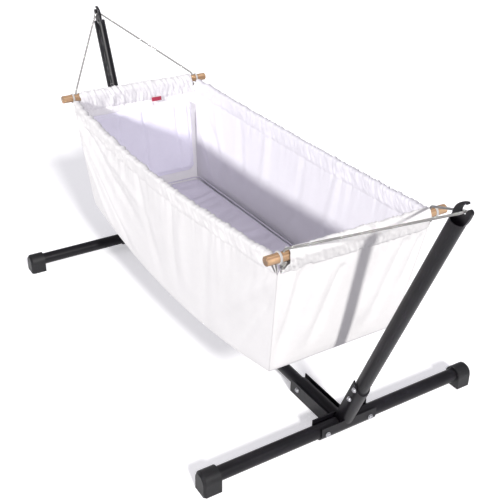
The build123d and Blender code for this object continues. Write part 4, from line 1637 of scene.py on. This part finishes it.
@dataclass
class Bedding:
    """The mattress, the padded bumper on the head panel, and the small cloth tag."""

    dress: Wardrobe
    seams: tuple[float, ...] = (-0.072, 0.004, 0.108, 0.148)
    seam_width: float = 0.0035
    seam_depth: float = 0.0030
    rim_seam: float = 0.014
    gather: float = 0.0046
    sag: float = 0.0485
    corner: float = 0.022
    pressure: float = 4.0
    pipe_corner: float = 0.020
    pipe_r: float = 0.0020

    def pad(self, name: str, size: Triple, cuts: int,
            bend: Callable[[Vector], Vector], material: Material) -> Piece:
        """Starts a pad as a soft-edged block bent to its place.

        Args:
            name: piece name.
            size: its size before filling.
            cuts: lengths that it is cut into, so that it can bend.
            bend: takes a point of the block to its place.
            material: its finish.

        Returns:
            The pad.
        """
        bm = bmesh.new()
        bmesh.ops.create_cube(bm, size=1.0)
        bmesh.ops.scale(bm, vec=size, verts=bm.verts)
        upright = [e for e in bm.edges if abs((e.verts[0].co - e.verts[1].co).z) > TOUCHING]
        round_off(bm, upright, self.corner, 5)
        for k in range(1, cuts):
            x = size[0] * (k / cuts - 0.5)
            geometry = [*bm.verts, *bm.edges, *bm.faces]
            bmesh.ops.bisect_plane(bm, geom=geometry, dist=TOUCHING, plane_co=(x, 0, 0), plane_no=(1, 0, 0))
        for vert in bm.verts:
            vert.co = bend(vert.co.copy())
        return finish_piece(name, bm, material)

    def mattress(self) -> tuple[Piece, Piece]:
        """Makes the mattress, flat on top, that fills the sag of the bottom, and its piping."""
        box = Spot.of("mattress")
        half = box.high.x
        width = box.high.y - box.low.y
        tall = box.high.z - box.low.z

        def bend(p: Vector) -> Vector:
            """Bends the block's underside to the sag."""
            floor = box.low.z + 0.003 + self.sag * (p.x / half) ** 2
            return Vector((p.x, p.y, blend(floor, box.high.z - 0.004, p.z / tall + 0.5)))

        size = (2 * half - 0.004, width + 0.004, tall)
        pad = self.pad("mattress_pad", size, 36, bend, self.dress.mattress)
        swell(pad, 0.005, self.pressure, 0.004)
        for vertex in pad.data.vertices:
            p = vertex.co
            edge = ease((half - abs(p.x)) / 0.05) * ease((width / 2 - abs(p.y)) / 0.02)
            slant = 0.7 * rumple(p.x / 0.15, p.y / 0.09, 3.0)
            ridge = 1 - 2.6 * abs(rumple(p.x / 0.066 + slant, p.y / 0.17, 71.0))
            fine = rumple(p.x / 0.024 + p.y / 0.07, p.y / 0.080, 73.0)
            wave = rumple(p.x / 0.11, p.y / 0.16, 75.0)
            if vertex.normal.z > 0.2:
                lift = self.gather * edge * (ridge + 0.5 * fine + 1.2 * wave) - 0.0012
                vertex.co = p + vertex.normal * lift
        self.close(pad, "mattress", 0.6)
        flat_map(pad, Vector((1, 0, 0)), Vector((0, 1, 0)))
        return pad, self.pipe(half - 0.001, width / 2 + 0.003, box.high.z - 0.005)

    def pipe(self, half: float, wide: float, height: float) -> Piece:
        """Lays the piping round the mattress's upper edge.

        Args:
            half: half length.
            wide: half width.
            height: its height.

        Returns:
            The piping.
        """
        corner = self.pipe_corner
        path = []
        for turn, (sx, sy) in enumerate(((1, 1), (-1, 1), (-1, -1), (1, -1))):
            for k in range(13):
                angle = (turn + k / 12) * pi / 2
                x, y = sx * (half - corner) + corner * cos(angle), sy * (wide - corner) + corner * sin(angle)
                path.append(Vector((x, y, height)))
        path.append(path[0])
        bm = tube_along(even_points(path, 0.004), self.pipe_r, 8, 0.005)
        return finish_piece("mattress_piping", bm, self.dress.mattress)

    def close(self, pad: Piece, node: str, fill: float) -> None:
        """Smooths a filled pad and hides the CAD node that it stands for."""
        for face in pad.data.polygons:
            face.use_smooth = True
        smooth = pad.modifiers.new("smooth", "SUBSURF")
        smooth.levels = 1
        smooth.render_levels = 1
        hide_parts(node)

    def bumper(self, basket: Basket) -> Piece:
        """Makes the padded bumper that hangs on the inside of the head panel."""
        box = Spot.of("head_bumper")
        out, up = basket.end_out(End.HEAD)
        low, high = box.low.z, box.high.z
        tall = (high - low) / up.z
        width = box.high.y - box.low.y
        middle = (low + high) / 2
        foot = Vector((-(basket.low_x + (middle - basket.low_z) * basket.lean()), 0, middle)) - out * 0.0080

        def bend(p: Vector) -> Vector:
            """Stands the block up against the head panel."""
            spread = 1 - 0.065 * (0.5 - p.y / tall)
            return foot + ACROSS * (p.x * spread) + up * p.y - out * p.z

        size = (width - 0.008, tall - 0.008, 0.007)
        pad = self.pad("head_bumper_pad", size, 24, bend, self.dress.quilt)
        swell(pad, 0.004, self.pressure, 0.0035)
        for vertex in pad.data.vertices:
            p = vertex.co
            a, b = p.y, (p - foot).dot(up)
            rims = (b + tall / 2 - self.rim_seam, b - tall / 2 + self.rim_seam)
            gaps = [a - seam for seam in self.seams] + list(rims)
            depth = sum(exp(-((gap / self.seam_width) ** 2)) for gap in gaps)
            soft = 0.0008 * rumple(a / 0.03, b / 0.09, 81.0)
            if vertex.normal.dot(-out) > 0.2:
                vertex.co = p - out * (soft - self.seam_depth * min(depth, 1.0))
        self.close(pad, "head_bumper", 0.4)
        flat_map(pad, ACROSS, up)
        return pad

    def tag(self, basket: Basket) -> Piece:
        """Makes the small blank ribbon tag sewn to the head hem's stitch line."""
        box = Spot.of("head_tag")
        out, up = basket.end_out(End.HEAD)
        width, tall = box.high.y - box.low.y, box.high.z - box.low.z
        centre = box.middle - out * 0.0058

        def spread(a: float, b: float) -> Vector:
            """Place of a point of the ribbon."""
            curl = 0.0012 * sin(pi * a) + 0.0010 * (1 - b) ** 2
            return centre + Vector((0, (a - 0.5) * width, 0)) + up * ((b - 0.5) * tall) - out * curl

        bm = cloth_grid((18, 10), spread, (width, tall))
        tag = thicken(finish_piece("head_ribbon_tag", bm, self.dress.tag, ["head_tag"]), 0.0006)
        return tag


def limit(light: Piece, pieces: Iterable[Piece]) -> None:
    """Lets a light reach only some pieces.

    Args:
        light: the light.
        pieces: pieces that it reaches.
    """
    group = bpy.data.collections.new(f"reached by the {light.name}")
    for piece in pieces:
        group.objects.link(piece)
    light.light_linking.receiver_collection = group


def main() -> None:
    """Builds the studio and the cradle, piece by piece."""
    logging.basicConfig(level=logging.INFO, format="%(message)s")
    dress = Wardrobe()
    studio = Studio()
    studio.camera()
    slings = [Sling(end).build(dress) for end in End]
    near_light, foot_light, head_light, fill_light, floor_light = studio.lights()
    floor = studio.floor(dress.floor)
    stand = Stand(dress).build()
    basket = Basket(dress)
    cloth = basket.build()
    bedding = Bedding(dress)
    soft = [*bedding.mattress(), bedding.bumper(basket), bedding.tag(basket)]
    foot_cloth = [p for p in cloth if p.name.startswith(("foot_end", "foot_ruched", "foot_hem"))]
    head_cloth = [p for p in cloth if p.name.startswith(("head_end", "head_ruched", "head_hem"))] + soft[2:]
    others = [p for p in bpy.context.scene.objects if p.type == "MESH" and p not in (*cloth, *soft, floor)]
    limit(near_light, others + [p for p in (*cloth, *soft) if p not in foot_cloth])
    limit(foot_light, others + foot_cloth)
    limit(head_light, [p for p in head_cloth if not p.name.startswith("head_ruched")])
    limit(fill_light, head_cloth + soft[:2])
    limit(floor_light, [floor])
    for piece in (*slings, *stand, *cloth, *soft):
        log.info("made %s, %d faces", piece.name, len(piece.data.polygons))


if __name__ == "__main__":
    main()
